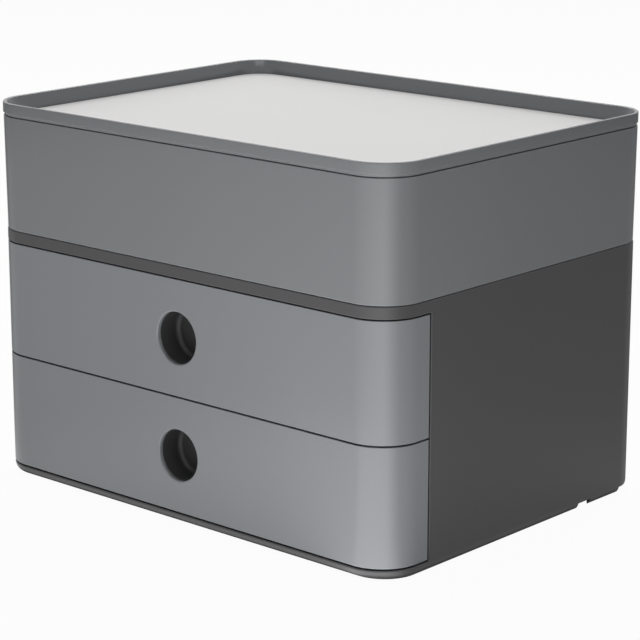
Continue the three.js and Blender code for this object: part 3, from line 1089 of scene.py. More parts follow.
@dataclass
class Casing:
    """The dark body that carries the drawers: shell, rear panel, cable bushes, runners and feet."""

    outline: CornerRound
    inset: float = 0.5 * MM
    wall: float = 2.4 * MM
    floor: float = 3.8 * MM
    top: float = 2.2 * MM
    strip_height: float = 4.95 * MM
    band_height: float = 5.85 * MM
    base_rounding: float = 5.0 * MM
    base_steps: int = 9
    side_rounding_share: float = 0.6
    top_rounding: float = 0.4 * MM
    top_steps: int = 4
    front_gap: float = 1.2 * MM
    frame_side: float = 30 * MM
    frame_height: float = 9 * MM
    window_radius: float = 2 * MM
    window_steps: int = 5
    opening_rounding: float = 0.65 * MM
    opening_steps: int = 3
    relief_height: float = 3 * MM
    relief_reach: float = 8 * MM
    relief_pocket_margin: float = 5 * MM
    side_relief_from_rear: float = 51.2 * MM
    side_relief_length: float = 9.4 * MM
    corner_relief_length: float = 17.5 * MM
    corner_relief_reach: float = 18 * MM
    rib_thickness: float = 1.2 * MM
    rib_height: float = 1.9 * MM
    rib_length: float = 12 * MM
    rib_place: float = 78 * MM
    seat: float = 0.3 * MM
    stem_radius: float = 2.2 * MM
    stem_sides: int = 32
    pad_recess: float = 0.8 * MM
    pad_sides: int = 64
    outlet_length: float = 34 * MM
    outlet_height: float = 14 * MM
    bush_wall: float = 1.4 * MM
    bush_start: float = 0.5 * MM
    shell_softness: float = 0.2 * MM
    panel_softness: float = 0.3 * MM
    bush_softness: float = 0.35 * MM
    foot_hollow: float = 0.25 * MM
    body: str = "casing"

    @property
    def low(self) -> Vector:
        """The shell's lowest corner."""
        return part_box("casing_shell")[0]

    @property
    def high(self) -> Vector:
        """The shell's highest corner."""
        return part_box("casing_shell")[1]

    def build(self) -> None:
        """Builds every piece of the casing."""
        self.build_shell()
        self.build_rear()
        self.build_runners()
        self.build_feet()

    def build_shell(self) -> None:
        """The shell: rounded foot, hollow inside, open at the front and in the rear wall."""
        shell = self.outline.shape(Workpiece.block("casing_moulding", self.low, self.high), self.inset)
        shell.round_edges(edges_at_height(self.low.z), self.base_rounding, self.base_steps)
        self.widen_foot(shell)
        shell.round_edges(edges_at_height(self.high.z), self.top_rounding, self.top_steps)
        shell.cut(self.hollow())
        shell.join(*self.panel_ribs())
        shell.cut(*self.openings())
        shell.round_edges(self.opening_edges(), self.opening_rounding, self.opening_steps)
        shell.cut(*self.reliefs(), *self.seats())
        hand_over(shell.finish(self.shell_softness), "casing_shell", self.body, CASING_SATIN)

    def widen_foot(self, shell: Workpiece) -> None:
        """Draws the rounded foot out ring by ring, so that it is tighter at the sides than at the front.

        Args:
            shell: The shell, with the same rounding all round its foot.
        """
        for step in range(self.base_steps):
            angle = math.pi / 2 * step / self.base_steps
            drawn_in = self.base_rounding * (1 - math.sin(angle))
            height = self.low.z + self.base_rounding * (1 - math.cos(angle))
            half_width = self.high.x - drawn_in
            share = 1 + drawn_in * (1 - self.side_rounding_share) / half_width
            shell.resize_ring(height, (share, 1, 1))

    def hollow(self) -> Workpiece:
        """The space inside the shell.

        Returns:
            The cutting tool.
        """
        inner_low = self.low + Vector((self.wall, self.wall, self.floor))
        inner_high = self.high - Vector((self.wall, self.wall, self.top))
        return self.outline.shape(Workpiece.block("hollow", inner_low, inner_high), self.inset + self.wall)

    def openings(self) -> list[Workpiece]:
        """The front opening for the drawers and the window in the rear wall.

        Returns:
            The cutting tools.
        """
        side_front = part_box("upper_front")[1].y + self.front_gap
        front = Workpiece.block(
            "front_opening",
            (self.low.x - OVERRUN, self.low.y - OVERRUN, self.low.z + self.strip_height),
            (self.high.x + OVERRUN, side_front, self.high.z - self.band_height),
        )
        half = self.high.x + self.inset - self.frame_side
        bottom = self.low.z + self.floor + self.frame_height
        top = self.high.z - self.top - self.frame_height
        rear = Workpiece.block(
            "rear_window",
            (-half, self.high.y - self.wall - OVERRUN, bottom),
            (half, self.high.y + OVERRUN, top),
        )
        return [front, rear.round_edges(through_edges, self.window_radius, self.window_steps)]

    def opening_edges(self) -> EdgeTest:
        """A test for the outer edges round the front opening.

        Returns:
            A test of an edge's middle and direction.
        """
        corner = self.high
        bottom = self.low.z + self.strip_height - SAME_PLACE
        top = corner.z - self.band_height + SAME_PLACE

        def on_outline(middle: Vector, way: Vector) -> bool:
            """Whether an edge lies on the shell's outer face, between strip and band."""
            inside = self.outline.depth(middle, corner, self.inset)
            return bottom < middle.z < top and inside < SAME_PLACE

        return on_outline

    def reliefs(self) -> list[Workpiece]:
        """The low notches in the side walls, the pockets behind them and the cuts under the rear corners.

        Returns:
            The cutting tools.
        """
        outer = self.high + Vector((self.inset, self.inset, 0))
        height = (self.low.z - OVERRUN, self.low.z + self.relief_height)
        start = outer.y - self.side_relief_from_rear
        end = start + self.side_relief_length
        inner_side = self.high.x - self.wall
        notch = ((inner_side - SAME_PLACE, outer.x + OVERRUN), (start, end))
        pocket_along = (start - self.relief_pocket_margin, end + self.relief_pocket_margin)
        pocket = ((outer.x - self.relief_reach, inner_side), pocket_along)
        corner_along = (outer.y - self.corner_relief_length, outer.y + OVERRUN)
        corner = ((outer.x - self.corner_relief_reach, outer.x + OVERRUN), corner_along)
        cuts = {"notch": notch, "pocket": pocket, "corner_relief": corner}
        return [Workpiece.beside(name, hand, *cuts[name], height) for hand in Hand for name in cuts]

    def seats(self) -> list[Workpiece]:
        """The holes for the feet's stems and the shallow recesses for the box's pads.

        Returns:
            The cutting tools.
        """
        hole_radius = self.stem_radius + self.seat
        hole_length = self.floor + 2 * OVERRUN
        tools = []
        for corner in CORNERS:
            foot_low, foot_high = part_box(f"foot_{corner}")
            middle = (foot_low + foot_high) / 2
            middle.z = self.low.z + self.floor / 2
            hole = Workpiece.drum("stem_hole", hole_radius, middle, hole_length, Axis.Z, self.stem_sides)
            pad_low, pad_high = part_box(f"box_pad_{corner}")
            radius = (pad_high.x - pad_low.x) / 2 + self.seat
            middle = (pad_low + pad_high) / 2
            middle.z = self.high.z - self.pad_recess + OVERRUN / 2
            recess = Workpiece.drum("pad_recess", radius, middle, OVERRUN, Axis.Z, self.pad_sides)
            tools += [hole, recess]
        return tools

    def panel_ribs(self) -> list[Workpiece]:
        """The short ribs that hold the rear panel against the rear wall.

        Returns:
            The ribs.
        """
        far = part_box("rear_panel")[0].y - self.seat
        floor_top = self.low.z + self.floor
        top_underside = self.high.z - self.top
        across = (self.rib_place, self.rib_place + self.rib_length)
        along = (far - self.rib_thickness, far)
        heights = (
            (floor_top - self.floor / 2, floor_top + self.rib_height),
            (top_underside - self.rib_height, top_underside + self.top / 2),
        )
        return [
            Workpiece.beside("panel_rib", hand, across, along, height)
            for hand in Hand
            for height in heights
        ]

    def build_rear(self) -> None:
        """The rear panel with its two cable outlets, and the bush in each."""
        low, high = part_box("rear_panel")
        panel = Workpiece.block("rear_panel_moulding", low, high)
        for level in Level:
            node = f"cable_bush_{level.value}"
            bush_low, bush_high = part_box(node)
            middle = (bush_low + bush_high) / 2
            panel.cut(oblong("outlet", middle, self.outlet_length, self.outlet_height, 2 * OVERRUN))
            self.build_bush(node, bush_low, bush_high)
        hand_over(panel.finish(self.panel_softness), "rear_panel", self.body, CASING_SATIN)

    def build_bush(self, node: str, low: Vector, high: Vector) -> None:
        """A soft bush: a flange on the panel's outer face and a sleeve through it.

        Args:
            node: The bush's node.
            low: Its lowest corner.
            high: Its highest corner.
        """
        flange_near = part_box("rear_panel")[1].y + self.seat
        middle = Vector(((low.x + high.x) / 2, (flange_near + high.y) / 2, (low.z + high.z) / 2))
        bush = oblong(f"{node}_moulding", middle, high.x - low.x, high.z - low.z, high.y - flange_near)
        margin = (high.x - low.x - self.outlet_length) / 2 + self.seat
        bush.push(facing(0, -1, 0), (0, low.y - flange_near, 0), [margin])
        bush.push(facing_at(0, -1, 0, -low.y), (0, self.bush_start, 0), [self.bush_wall])
        bush.push(facing_at(0, 1, 0, high.y), (0, -self.bush_start, 0), [margin + self.bush_wall])
        bush.open_up(facing_at(0, -1, 0, -low.y - self.bush_start))
        bush.open_up(facing_at(0, 1, 0, high.y - self.bush_start))
        bush.bridge_open_ends()
        hand_over(bush.finish(self.bush_softness), node, self.body, FOOT_RUBBER)

    def build_runners(self) -> None:
        """The four channel rails that carry the drawers, each with its stop tab."""
        rail = Runner()
        for hand in Hand:
            lower = rail.build(hand)
            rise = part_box(f"upper_runner_{hand.value}")[0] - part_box(f"lower_runner_{hand.value}")[0]
            upper = lower.twin(f"upper_runner_{hand.value}_moulding", rise)
            hand_over(lower, f"lower_runner_{hand.value}", self.body, RUNNER_SLICK)
            hand_over(upper, f"upper_runner_{hand.value}", self.body, RUNNER_SLICK)

    def build_feet(self) -> None:
        """The four push-in feet, each a disc with a stem that goes up through the floor."""
        node = f"foot_{CORNERS[0]}"
        low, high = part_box(node)
        top = self.low.z - self.seat
        disc = RubberDisc(self.foot_hollow)
        foot = disc.build(f"{node}_moulding", low, Vector((high.x, high.y, top)))
        shoulder = (high.x - low.x) / 2 - self.stem_radius
        foot.push(facing_at(0, 0, 1, top), (0, 0, high.z - top), [shoulder])
        hand_over_four(foot.finish(disc.softness, disc.softness_steps), "foot", self.body, FOOT_RUBBER)


@dataclass
class Runner:
    """One channel rail on a side wall: the drawer's flange runs in its slot, up to the front stop tab."""

    web: float = 1.5 * MM
    lip: float = 1.6 * MM
    lip_reach: float = 2.2 * MM
    tab_length: float = 3 * MM
    tab_above_rim: float = 1 * MM
    slot_room: float = 0.6 * MM
    softness: float = 0.2 * MM
    softness_steps: int = 2

    def build(self, hand: Hand) -> Workpiece:
        """Builds the lower rail of one side.

        Args:
            hand: The side.

        Returns:
            The rail, finished.
        """
        node = f"lower_runner_{hand.value}"
        low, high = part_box(node)
        tray_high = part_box("lower_tray")[1]
        near_tab, far = hand.reach(low, high)
        slot_top = tray_high.z + self.slot_room
        channel_top = slot_top + self.lip
        lip_near = tray_high.x - self.lip_reach
        channel = (low.z, channel_top)
        rail = Workpiece.beside(f"{node}_moulding", hand, (lip_near, far), (low.y, high.y), channel)
        slot_x = (lip_near - OVERRUN, far - self.web)
        slot_y = (low.y - OVERRUN, high.y + OVERRUN)
        rail.cut(Workpiece.beside("slot", hand, slot_x, slot_y, (low.z + self.lip, slot_top)))
        tab_rear = low.y + self.tab_length
        tab_bottom = tray_high.z + self.tab_above_rim

        def tab_root(middle: Vector, normal: Vector) -> bool:
            """Whether a face is the part of the rail's top that the tab stands on."""
            return normal.z > SAME_WAY and middle.y < tab_rear and middle.z > slot_top

        def tab_side(middle: Vector, normal: Vector) -> bool:
            """Whether a face is the tab's side towards the drawer."""
            inward = -hand.sign * normal.x > SAME_WAY
            return inward and middle.y < tab_rear and middle.z > tab_bottom

        rail.slice_at((0, tab_rear, 0), (0, 1, 0))
        rail.push(tab_root, (0, 0, high.z - channel_top))
        rail.slice_at((0, 0, tab_bottom), (0, 0, 1))
        rail.push(tab_side, (hand.sign * (near_tab - lip_near), 0, 0))
        return rail.finish(self.softness, self.softness_steps)


@dataclass
class Drawer:
    """One drawer: the glossy front shell with its finger hole, the tray behind it and the two stop clips."""

    outline: CornerRound
    inset: float = 0.5 * MM
    front_wall: float = 2.4 * MM
    hole_radius: float = 12.5 * MM
    hole_sides: int = 96
    hole_rounding: float = 0.9 * MM
    hole_steps: int = 6
    hole_relief: float = 1 * MM
    cup_depth: float = 12 * MM
    cup_wall: float = 1.6 * MM
    cup_rounding: float = 2.5 * MM
    cup_steps: int = 5
    tray_wall: float = 2 * MM
    tray_floor: float = 2 * MM
    tray_front_radius: float = 17.8 * MM
    tray_rear_radius: float = 13 * MM
    tray_steps: int = 16
    tray_fillet: float = 2 * MM
    tray_edge: float = 1.2 * MM
    fillet_steps: int = 4
    flange_width: float = 2.7 * MM
    flange_thickness: float = 2 * MM
    notch_width: float = 36 * MM
    notch_depth: float = 14 * MM
    notch_radius: float = 4 * MM
    notch_steps: int = 6
    peg_width: float = 8 * MM
    peg_height: float = 3 * MM
    peg_length: float = 5.3 * MM
    peg_spacing: float = 46.8 * MM
    peg_spaces: tuple[int, ...] = (-2, -1, 1, 2)
    seat: float = 0.3 * MM
    clip_wall: float = 1.8 * MM
    clip_bridge: float = 3.4 * MM
    front_softness: float = 0.28 * MM
    tray_softness: float = 0.4 * MM
    clip_softness: float = 0.25 * MM
    clip_softness_steps: int = 2

    def build(self) -> None:
        """Builds the lower drawer and copies it for the upper one."""
        pieces = {
            "front": (self.build_front(), FRONT_GLOSS),
            "tray": (self.build_tray(), TRAY_SATIN),
            "stop_left": (self.build_clip(Hand.LEFT), RUNNER_SLICK),
            "stop_right": (self.build_clip(Hand.RIGHT), RUNNER_SLICK),
        }
        for part, (piece, finish) in pieces.items():
            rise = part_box(f"upper_{part}")[0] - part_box(f"lower_{part}")[0]
            upper = piece.twin(f"upper_{part}_moulding", rise)
            hand_over(piece, f"lower_{part}", "lower_drawer", finish)
            hand_over(upper, f"upper_{part}", "upper_drawer", finish)

    def hole_middle(self) -> Vector:
        """The middle of the finger hole, on the front's outer face."""
        low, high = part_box("lower_front")
        return Vector((0, low.y, (low.z + high.z) / 2))

    def pegs(self, grow: float) -> list[Workpiece]:
        """The pegs behind the front, or their slots in the tray.

        Args:
            grow: How much larger they are all round.

        Returns:
            The pegs.
        """
        middle = self.hole_middle()
        near = middle.y + self.front_wall / 2
        far = middle.y + self.front_wall + self.peg_length + grow
        half = self.peg_width / 2 + grow
        rise = self.peg_height / 2 + grow
        pegs = []
        for spaces in self.peg_spaces:
            place = spaces * self.peg_spacing
            low = (place - half, near, middle.z - rise)
            pegs.append(Workpiece.block("peg", low, (place + half, far, middle.z + rise)))
        return pegs

    def build_front(self) -> Workpiece:
        """The curved front shell with a round-rimmed finger hole.

        Returns:
            The front, finished.
        """
        low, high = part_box("lower_front")
        front = Workpiece.block("lower_front_moulding", low, high)
        halfway = (low.y + high.y) / 2
        middle = self.hole_middle()
        close = self.hole_rounding / 2

        def on_corner(place: Vector, way: Vector) -> bool:
            """Whether an edge is one of the two corners towards the user."""
            return upright_edges(place, way) and place.y < halfway

        def on_rim(place: Vector, way: Vector) -> bool:
            """Whether an edge runs round the finger hole's outer rim."""
            from_rim = math.hypot(place.x - middle.x, place.z - middle.z) - self.hole_radius
            return abs(place.y - middle.y) < SAME_PLACE and abs(from_rim) < close

        front.round_edges(on_corner, self.outline.front - self.inset, self.outline.steps)
        front.open_up(lambda place, normal: abs(normal.z) > SAME_WAY or normal.y > SAME_WAY)
        front.shell(self.front_wall)
        front.join(*self.pegs(0.0))
        through = 2 * (self.front_wall + OVERRUN)
        front.cut(Workpiece.drum("finger_hole", self.hole_radius, middle, through, Axis.Y, self.hole_sides))
        front.round_edges(on_rim, self.hole_rounding, self.hole_steps)
        return front.finish(self.front_softness)

    def build_tray(self) -> Workpiece:
        """The open tray with its side flanges, finger cup, peg slots and cable notch.

        Returns:
            The tray, finished.
        """
        low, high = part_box("lower_tray")
        body_low = Vector((low.x + self.flange_width, low.y, low.z))
        body_high = Vector((high.x - self.flange_width, high.y, high.z))
        tray = Workpiece.block("lower_tray_moulding", body_low, body_high)
        flange_bottom = high.z - self.flange_thickness

        def rear_uprights(middle: Vector, way: Vector) -> bool:
            """Whether an edge is one of the tray's rear corners."""
            return upright_edges(middle, way) and middle.y > high.y - SAME_PLACE

        tray.round_edges(front_uprights, self.tray_front_radius, self.tray_steps)
        tray.round_edges(rear_uprights, self.tray_rear_radius, self.tray_steps)
        tray.slice_at((0, 0, flange_bottom), (0, 0, 1))
        tray.push(facing(0, 0, 1), (0, 0, self.tray_floor - (high.z - low.z)), [self.tray_wall])
        tray.round_edges(edges_at_height(low.z + self.tray_floor), self.tray_fillet, self.fillet_steps)
        tray.round_edges(edges_at_height(low.z), self.tray_edge, self.fillet_steps)
        for hand in Hand:
            tray.push(self.flange_root(hand, flange_bottom), (hand.sign * self.flange_width, 0, 0))
        self.add_cup(tray, low.y)
        tray.cut(*self.pegs(self.seat))
        notch = Workpiece.block(
            "cable_notch",
            (-self.notch_width / 2, high.y - self.tray_wall - OVERRUN, high.z - self.notch_depth),
            (self.notch_width / 2, high.y + OVERRUN, high.z + OVERRUN),
        )

        def lower_corner(middle: Vector, way: Vector) -> bool:
            """Whether an edge is one of the notch's lower corners."""
            return through_edges(middle, way) and middle.z < high.z

        notch.round_edges(lower_corner, self.notch_radius, self.notch_steps)
        return tray.cut(notch).finish(self.tray_softness)

    def add_cup(self, tray: Workpiece, near: float) -> None:
        """Moulds the closed finger cup onto the tray's front wall.

        Args:
            tray: The tray.
            near: The place of the tray's front face along Y.
        """
        height = self.hole_middle().z
        radius = self.hole_radius + self.hole_relief
        back = near + self.cup_depth

        def lying(name: str, wide: float, start: float, end: float) -> Workpiece:
            """A drum that lies along Y at the finger hole's height."""
            middle = (0, (start + end) / 2, height)
            return Workpiece.drum(name, wide, middle, end - start, Axis.Y, self.hole_sides)

        far = back + self.cup_wall
        cup = lying("finger_cup", radius + self.cup_wall, near + self.tray_wall / 2, far)
        cup.round_edges(edges_at_depth(far), self.cup_rounding + self.cup_wall, self.cup_steps)
        hollow = lying("cup_hollow", radius, near - OVERRUN, back)
        hollow.round_edges(edges_at_depth(back), self.cup_rounding, self.cup_steps)
        tray.join(cup).cut(hollow)

    @staticmethod
    def flange_root(hand: Hand, flange_bottom: float) -> FaceTest:
        """A test for the strip of a tray's side wall that its flange grows from.

        Args:
            hand: The side.
            flange_bottom: The height of the flange's underside.

        Returns:
            A test of a face's middle and normal.
        """

        def root(middle: Vector, normal: Vector) -> bool:
            """Whether a face is the strip."""
            outward = hand.sign * normal.x > SAME_WAY and hand.sign * middle.x > 0
            return outward and middle.z > flange_bottom

        return root

    def build_clip(self, hand: Hand) -> Workpiece:
        """The clip over the tray rim that meets the runner's stop tab.

        Args:
            hand: The side.

        Returns:
            The clip, finished.
        """
        node = f"lower_stop_{hand.value}"
        low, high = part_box(node)
        near, far = hand.reach(low, high)
        leg_far = near + self.clip_wall
        bridge = (high.z - self.clip_bridge, high.z)
        clip = Workpiece.beside(f"{node}_moulding", hand, (near, far), (low.y, high.y), bridge)

        def leg_root(middle: Vector, normal: Vector) -> bool:
            """Whether a face is the strip of the bridge's underside that the leg hangs from."""
            return -normal.z > SAME_WAY and abs(middle.x) < leg_far

        clip.slice_at((hand.sign * leg_far, 0, 0), (1, 0, 0))
        clip.push(leg_root, (0, 0, low.z - bridge[0]))
        return clip.finish(self.clip_softness, self.clip_softness_steps)


@dataclass
class UtensilBox:
    """The box on the casing: its shell with ribs, three dividers and four pads."""

    outline: CornerRound
    top_inset: float = 0.2 * MM
    bottom_inset: float = 0.6 * MM
    wall: float = 1.8 * MM
    floor: float = 1.8 * MM
    floor_fillet: float = 1.5 * MM
    skirt: float = 2.2 * MM
    bottom_rounding: float = 0.8 * MM
    fillet_steps: int = 4
    edge_drop: float = 0.28 * MM
    lid_rib_width: float = 1.6 * MM
    lid_rib_reach: float = 4 * MM
    lid_rib_x: float = 65 * MM
    lid_rib_y: float = 48.75 * MM
    divider_thickness: float = 1.6 * MM
    divider_radius: float = 3 * MM
    divider_steps: int = 8
    divider_rib_width: float = 1.4 * MM
    divider_rib_reach: float = 2.2 * MM
    pad_hollow: float = 0.2 * MM
    seat: float = 0.3 * MM
    softness: float = 0.35 * MM
    body: str = "utensil_box"

    def build(self) -> None:
        """Builds every piece of the box."""
        self.build_shell()
        self.build_dividers()
        self.build_pads()

    def build_shell(self) -> None:
        """The shell: slightly drafted walls, a floor on a skirt, and ribs inside."""
        low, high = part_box("box_shell")
        floor_top = low.z + self.skirt + self.floor
        low.z -= self.edge_drop
        draft = self.bottom_inset - self.top_inset
        shell = self.outline.shape(Workpiece.block("box_moulding", low, high), self.top_inset)
        shares = ((high.x - draft) / high.x, (high.y - draft) / high.y, 1.0)
        shell.taper(facing(0, 0, -1), shares, (0, 0, low.z))
        shell.push(facing(0, 0, 1), (0, 0, floor_top - high.z), [self.wall])
        shell.taper(facing_at(0, 0, 1, floor_top), shares, (0, 0, floor_top))
        shell.round_edges(edges_at_height(floor_top), self.floor_fillet, self.fillet_steps)
        shell.round_edges(edges_at_height(low.z), self.bottom_rounding, self.fillet_steps)
        shell.push(facing(0, 0, -1), (0, 0, self.skirt + self.edge_drop), [self.wall - self.bottom_rounding])
        root = floor_top - self.floor / 2
        shell.join(*self.lid_ribs(root), *self.divider_ribs(root))
        hand_over(shell.finish(self.softness), "box_shell", self.body, BOX_GLOSS)

    def inner_walls(self) -> Span:
        """How far the inner faces of the side walls, and of the front and rear walls, lie from the middle."""
        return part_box("divider_long")[1].x + self.seat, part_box("divider_left")[1].y + self.seat

    def lid_ribs(self, bottom: float) -> list[Workpiece]:
        """The upright ribs on all four walls that carry the lid.

        Args:
            bottom: The height that they start at.

        Returns:
            The ribs.
        """
        inner_x, inner_y = self.inner_walls()
        into_wall = self.wall / 2
        half = self.lid_rib_width / 2
        height = (bottom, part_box("lid_frame")[0].z - self.seat)
        rear = (inner_y - self.lid_rib_reach, inner_y + into_wall)
        front = (-inner_y - into_wall, self.lid_rib_reach - inner_y)
        side = (inner_x - self.lid_rib_reach, inner_x + into_wall)
        across = (self.lid_rib_x - half, self.lid_rib_x + half)
        ribs = []
        for hand in Hand:
            for along in (rear, front):
                ribs.append(Workpiece.beside("lid_rib", hand, across, along, height))
            for middle in (-self.lid_rib_y, self.lid_rib_y):
                along = (middle - half, middle + half)
                ribs.append(Workpiece.beside("lid_rib", hand, side, along, height))
        return ribs

    def divider_ribs(self, bottom: float) -> list[Workpiece]:
        """The pairs of upright ribs that hold the dividers' ends.

        Args:
            bottom: The height that they start at.

        Returns:
            The ribs.
        """
        inner_x, inner_y = self.inner_walls()
        into_wall = self.wall / 2
        long_low, long_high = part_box("divider_long")
        cross_low, cross_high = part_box("divider_right")
        long_y = (long_low.y + long_high.y) / 2
        cross_x = (cross_low.x + cross_high.x) / 2
        height = (bottom, long_high.z)
        side = (inner_x - self.divider_rib_reach, inner_x + into_wall)
        rear = (inner_y - self.divider_rib_reach, inner_y + into_wall)
        gap = self.divider_thickness / 2 + self.seat
        ribs = []
        for hand in Hand:
            for near, far in ((-gap - self.divider_rib_width, -gap), (gap, gap + self.divider_rib_width)):
                along = (long_y + near, long_y + far)
                ribs.append(Workpiece.beside("divider_rib", hand, side, along, height))
                across = (cross_x + near, cross_x + far)
                ribs.append(Workpiece.beside("divider_rib", hand, across, rear, height))
        return ribs

    def build_dividers(self) -> None:
        """The long divider and the two across it, with rounded upper corners."""
        for node in ("divider_long", "divider_left", "divider_right"):
            low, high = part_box(node)
            thin = 1 if high.x - low.x > high.y - low.y else 0
            plate = Workpiece.block(f"{node}_moulding", low, high)
            plate.round_edges(self.upper_corners(low, thin), self.divider_radius, self.divider_steps)
            hand_over(plate.finish(self.softness), node, self.body, TRAY_SATIN)

    @staticmethod
    def upper_corners(low: Vector, thin: int) -> EdgeTest:
        """A test for the upper corners of an upright plate.

        Args:
            low: The plate's lowest corner.
            thin: The axis of its thickness: nought for X and one for Y.

        Returns:
            A test of an edge's middle and direction.
        """
        return lambda middle, way: abs(way[thin]) > SAME_WAY and middle.z > low.z + SAME_PLACE

    def build_pads(self) -> None:
        """The four soft pads under the floor."""
        node = f"box_pad_{CORNERS[0]}"
        disc = RubberDisc(self.pad_hollow)
        pad = disc.build(f"{node}_moulding", *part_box(node))
        hand_over_four(pad.finish(disc.softness, disc.softness_steps), "box_pad", self.body, FOOT_RUBBER)


@dataclass
class Lid:
    """The tray lid: a frame with a thin rim and a plug that fits the box, and the pale plate set into it."""

    outline: CornerRound
    band_height: float = 5.2 * MM
    rim_width: float = 1.8 * MM
    neck_inset: float = 0.6 * MM
    plug_inset: float = 2.3 * MM
    plug_wall: float = 1.5 * MM
    floor: float = 1.8 * MM
    rim_rounding: float = 0.45 * MM
    rim_steps: int = 5
    slope_foot: float = 0.3 * MM
    seat: float = 0.3 * MM
    frame_softness: float = 0.25 * MM
    plate_softness: float = 0.35 * MM
    body: str = "lid"

    def build(self) -> None:
        """Builds the frame and the plate."""
        low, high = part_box("lid_frame")
        band_bottom = high.z - self.band_height
        frame_low = Vector((low.x, low.y, band_bottom))
        lid = self.outline.shape(Workpiece.block("lid_moulding", frame_low, high), 0.0)
        recess_inset = self.plug_inset + self.plug_wall
        slope = recess_inset - self.rim_width
        lid.dish(facing(0, 0, 1), (0, 0, self.slope_foot - self.band_height), [self.rim_width, slope])
        slope_bottom = band_bottom + self.slope_foot
        lid.push(facing_at(0, 0, 1, slope_bottom), (0, 0, low.z + self.floor - slope_bottom))
        neck_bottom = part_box("box_shell")[1].z + self.seat
        lid.push(facing_at(0, 0, -1, -band_bottom), (0, 0, neck_bottom - band_bottom), [self.neck_inset])
        plug_step = self.plug_inset - self.neck_inset
        lid.push(facing_at(0, 0, -1, -neck_bottom), (0, 0, low.z - neck_bottom), [plug_step])
        lid.round_edges(edges_at_height(high.z), self.rim_rounding, self.rim_steps)
        hand_over(lid.finish(self.frame_softness), "lid_frame", self.body, LID_GLOSS)
        plate = Workpiece.block("lid_plate_moulding", *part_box("lid_plate"))
        self.outline.shape(plate, recess_inset + self.seat)
        hand_over(plate.finish(self.plate_softness), "lid_plate", self.body, PLATE_SATIN)


@dataclass(frozen=True)
class SoftBox:
    """A soft studio lamp: a rectangle of light that hangs over the unit."""

    name: str
    place: Triple
    aim: Triple
    size: Span
    power: float

    def hang(self) -> None:
        """Puts the lamp in the scene."""
        lamp = bpy.data.lights.new(self.name, "AREA")
        lamp.shape = "RECTANGLE"
        lamp.size, lamp.size_y = self.size
        lamp.energy = self.power
        thing = bpy.data.objects.new(self.name, lamp)
        thing.location = self.place
        thing.rotation_euler = (Vector(self.aim) - Vector(self.place)).to_track_quat("-Z", "Y").to_euler()
        thing.visible_camera = False
        bpy.context.scene.collection.objects.link(thing)


@dataclass(frozen=True)
class GlowStop:
    """The brightness of the floor's painted glow in one direction, in degrees from straight ahead towards the
    right.
    """

    direction: float
    brightness: float

    @property
    def turn_share(self) -> float:
        """The direction as a share of the whole turn from straight behind."""
        return math.radians(self.direction) / math.tau + 0.5


@dataclass(frozen=True)
class FloorGlow:
    """How brightly the floor glows towards the unit, by the direction from the unit's front right corner: a
    painted pool of light that stands in for a lamp-lit patch of floor.

    The stops near the unit and those farther away go round it from the left to straight behind.
    """

    corner: Span = (109 * MM, -76.5 * MM)
    brightest: float = 3.0
    near: tuple[GlowStop, ...] = (
        GlowStop(-95, 0.0),
        GlowStop(-84, 0.92),
        GlowStop(-38, 1.24),
        GlowStop(-22, 1.42),
        GlowStop(-13, 2.2),
        GlowStop(50, 2.72),
        GlowStop(80, 0.43),
        GlowStop(170, 0.45),
        GlowStop(180, 0.0),
    )
    far: tuple[GlowStop, ...] = (
        GlowStop(-95, 0.0),
        GlowStop(-84, 0.53),
        GlowStop(-38, 0.71),
        GlowStop(42, 2.38),
        GlowStop(80, 0.27),
        GlowStop(170, 0.25),
        GlowStop(180, 0.0),
    )
    near_end: float = 170 * MM
    far_start: float = 330 * MM
    fade_start: float = 1.1
    fade_end: float = 1.35
    under_unit: Span = (128.2 * MM, 94.8 * MM)
    under_rounding: float = 15.5 * MM
    under_fade: float = 3 * MM

    def strength(self, bench: ShaderBench) -> Signal:
        """The glow's strength over the floor.

        Args:
            bench: The floor material's bench.

        Returns:
            The strength.
        """
        parts = bench.node("ShaderNodeSeparateXYZ", {}, {0: bench.place()}).outputs
        across, along = Signal(bench, parts[0]), Signal(bench, parts[1])
        right = across - self.corner[0]
        ahead = self.corner[1] - along
        turn = right.through("ARCTAN2", right, ahead) * (1 / math.tau) + 0.5
        away = self.length(right, ahead)
        far_share = away.rising(self.near_end, self.far_start)
        near, far = self.ramp(bench, turn, self.near), self.ramp(bench, turn, self.far)
        glow = near * (1 - far_share) + far * far_share
        faded = 1 - away.rising(self.fade_start, self.fade_end)
        return glow * self.clear_of_unit(across, along) * faded * self.brightest

    @staticmethod
    def length(across: Signal, along: Signal) -> Signal:
        """The length of a step across and along the floor."""
        return across.through("SQRT", across * across + along * along)

    def clear_of_unit(self, across: Signal, along: Signal) -> Signal:
        """A mask for the floor beside the unit, because nothing glows under it.

        Args:
            across: The place on the floor along X.
            along: The place along Y.

        Returns:
            One beside the unit and nought under it.
        """
        half_width, half_depth = (half - self.under_rounding for half in self.under_unit)
        beside = across.through("ABSOLUTE", across) - half_width
        before = along.through("ABSOLUTE", along) - half_depth
        outside = self.length(beside.through("MAXIMUM", beside, 0.0), before.through("MAXIMUM", before, 0.0))
        return outside.rising(self.under_rounding, self.under_rounding + self.under_fade)

    def ramp(self, bench: ShaderBench, turn: Signal, stops: Sequence[GlowStop]) -> Signal:
        """The glow by direction, as a share of the brightest.

        Args:
            bench: The floor material's bench.
            turn: The direction, as a share of the whole turn from straight behind.
            stops: The brightnesses in their directions.

        Returns:
            The glow.
        """
        made = bench.node("ShaderNodeValToRGB", {}, {"Fac": turn})
        elements = made.color_ramp.elements
        while len(elements) < len(stops):
            elements.new(1.0)
        for element, stop in zip(elements, stops):
            element.position = stop.turn_share
            level = stop.brightness / self.brightest
            element.color = (level, level, level, 1.0)
        return Signal(bench, made.outputs[0])


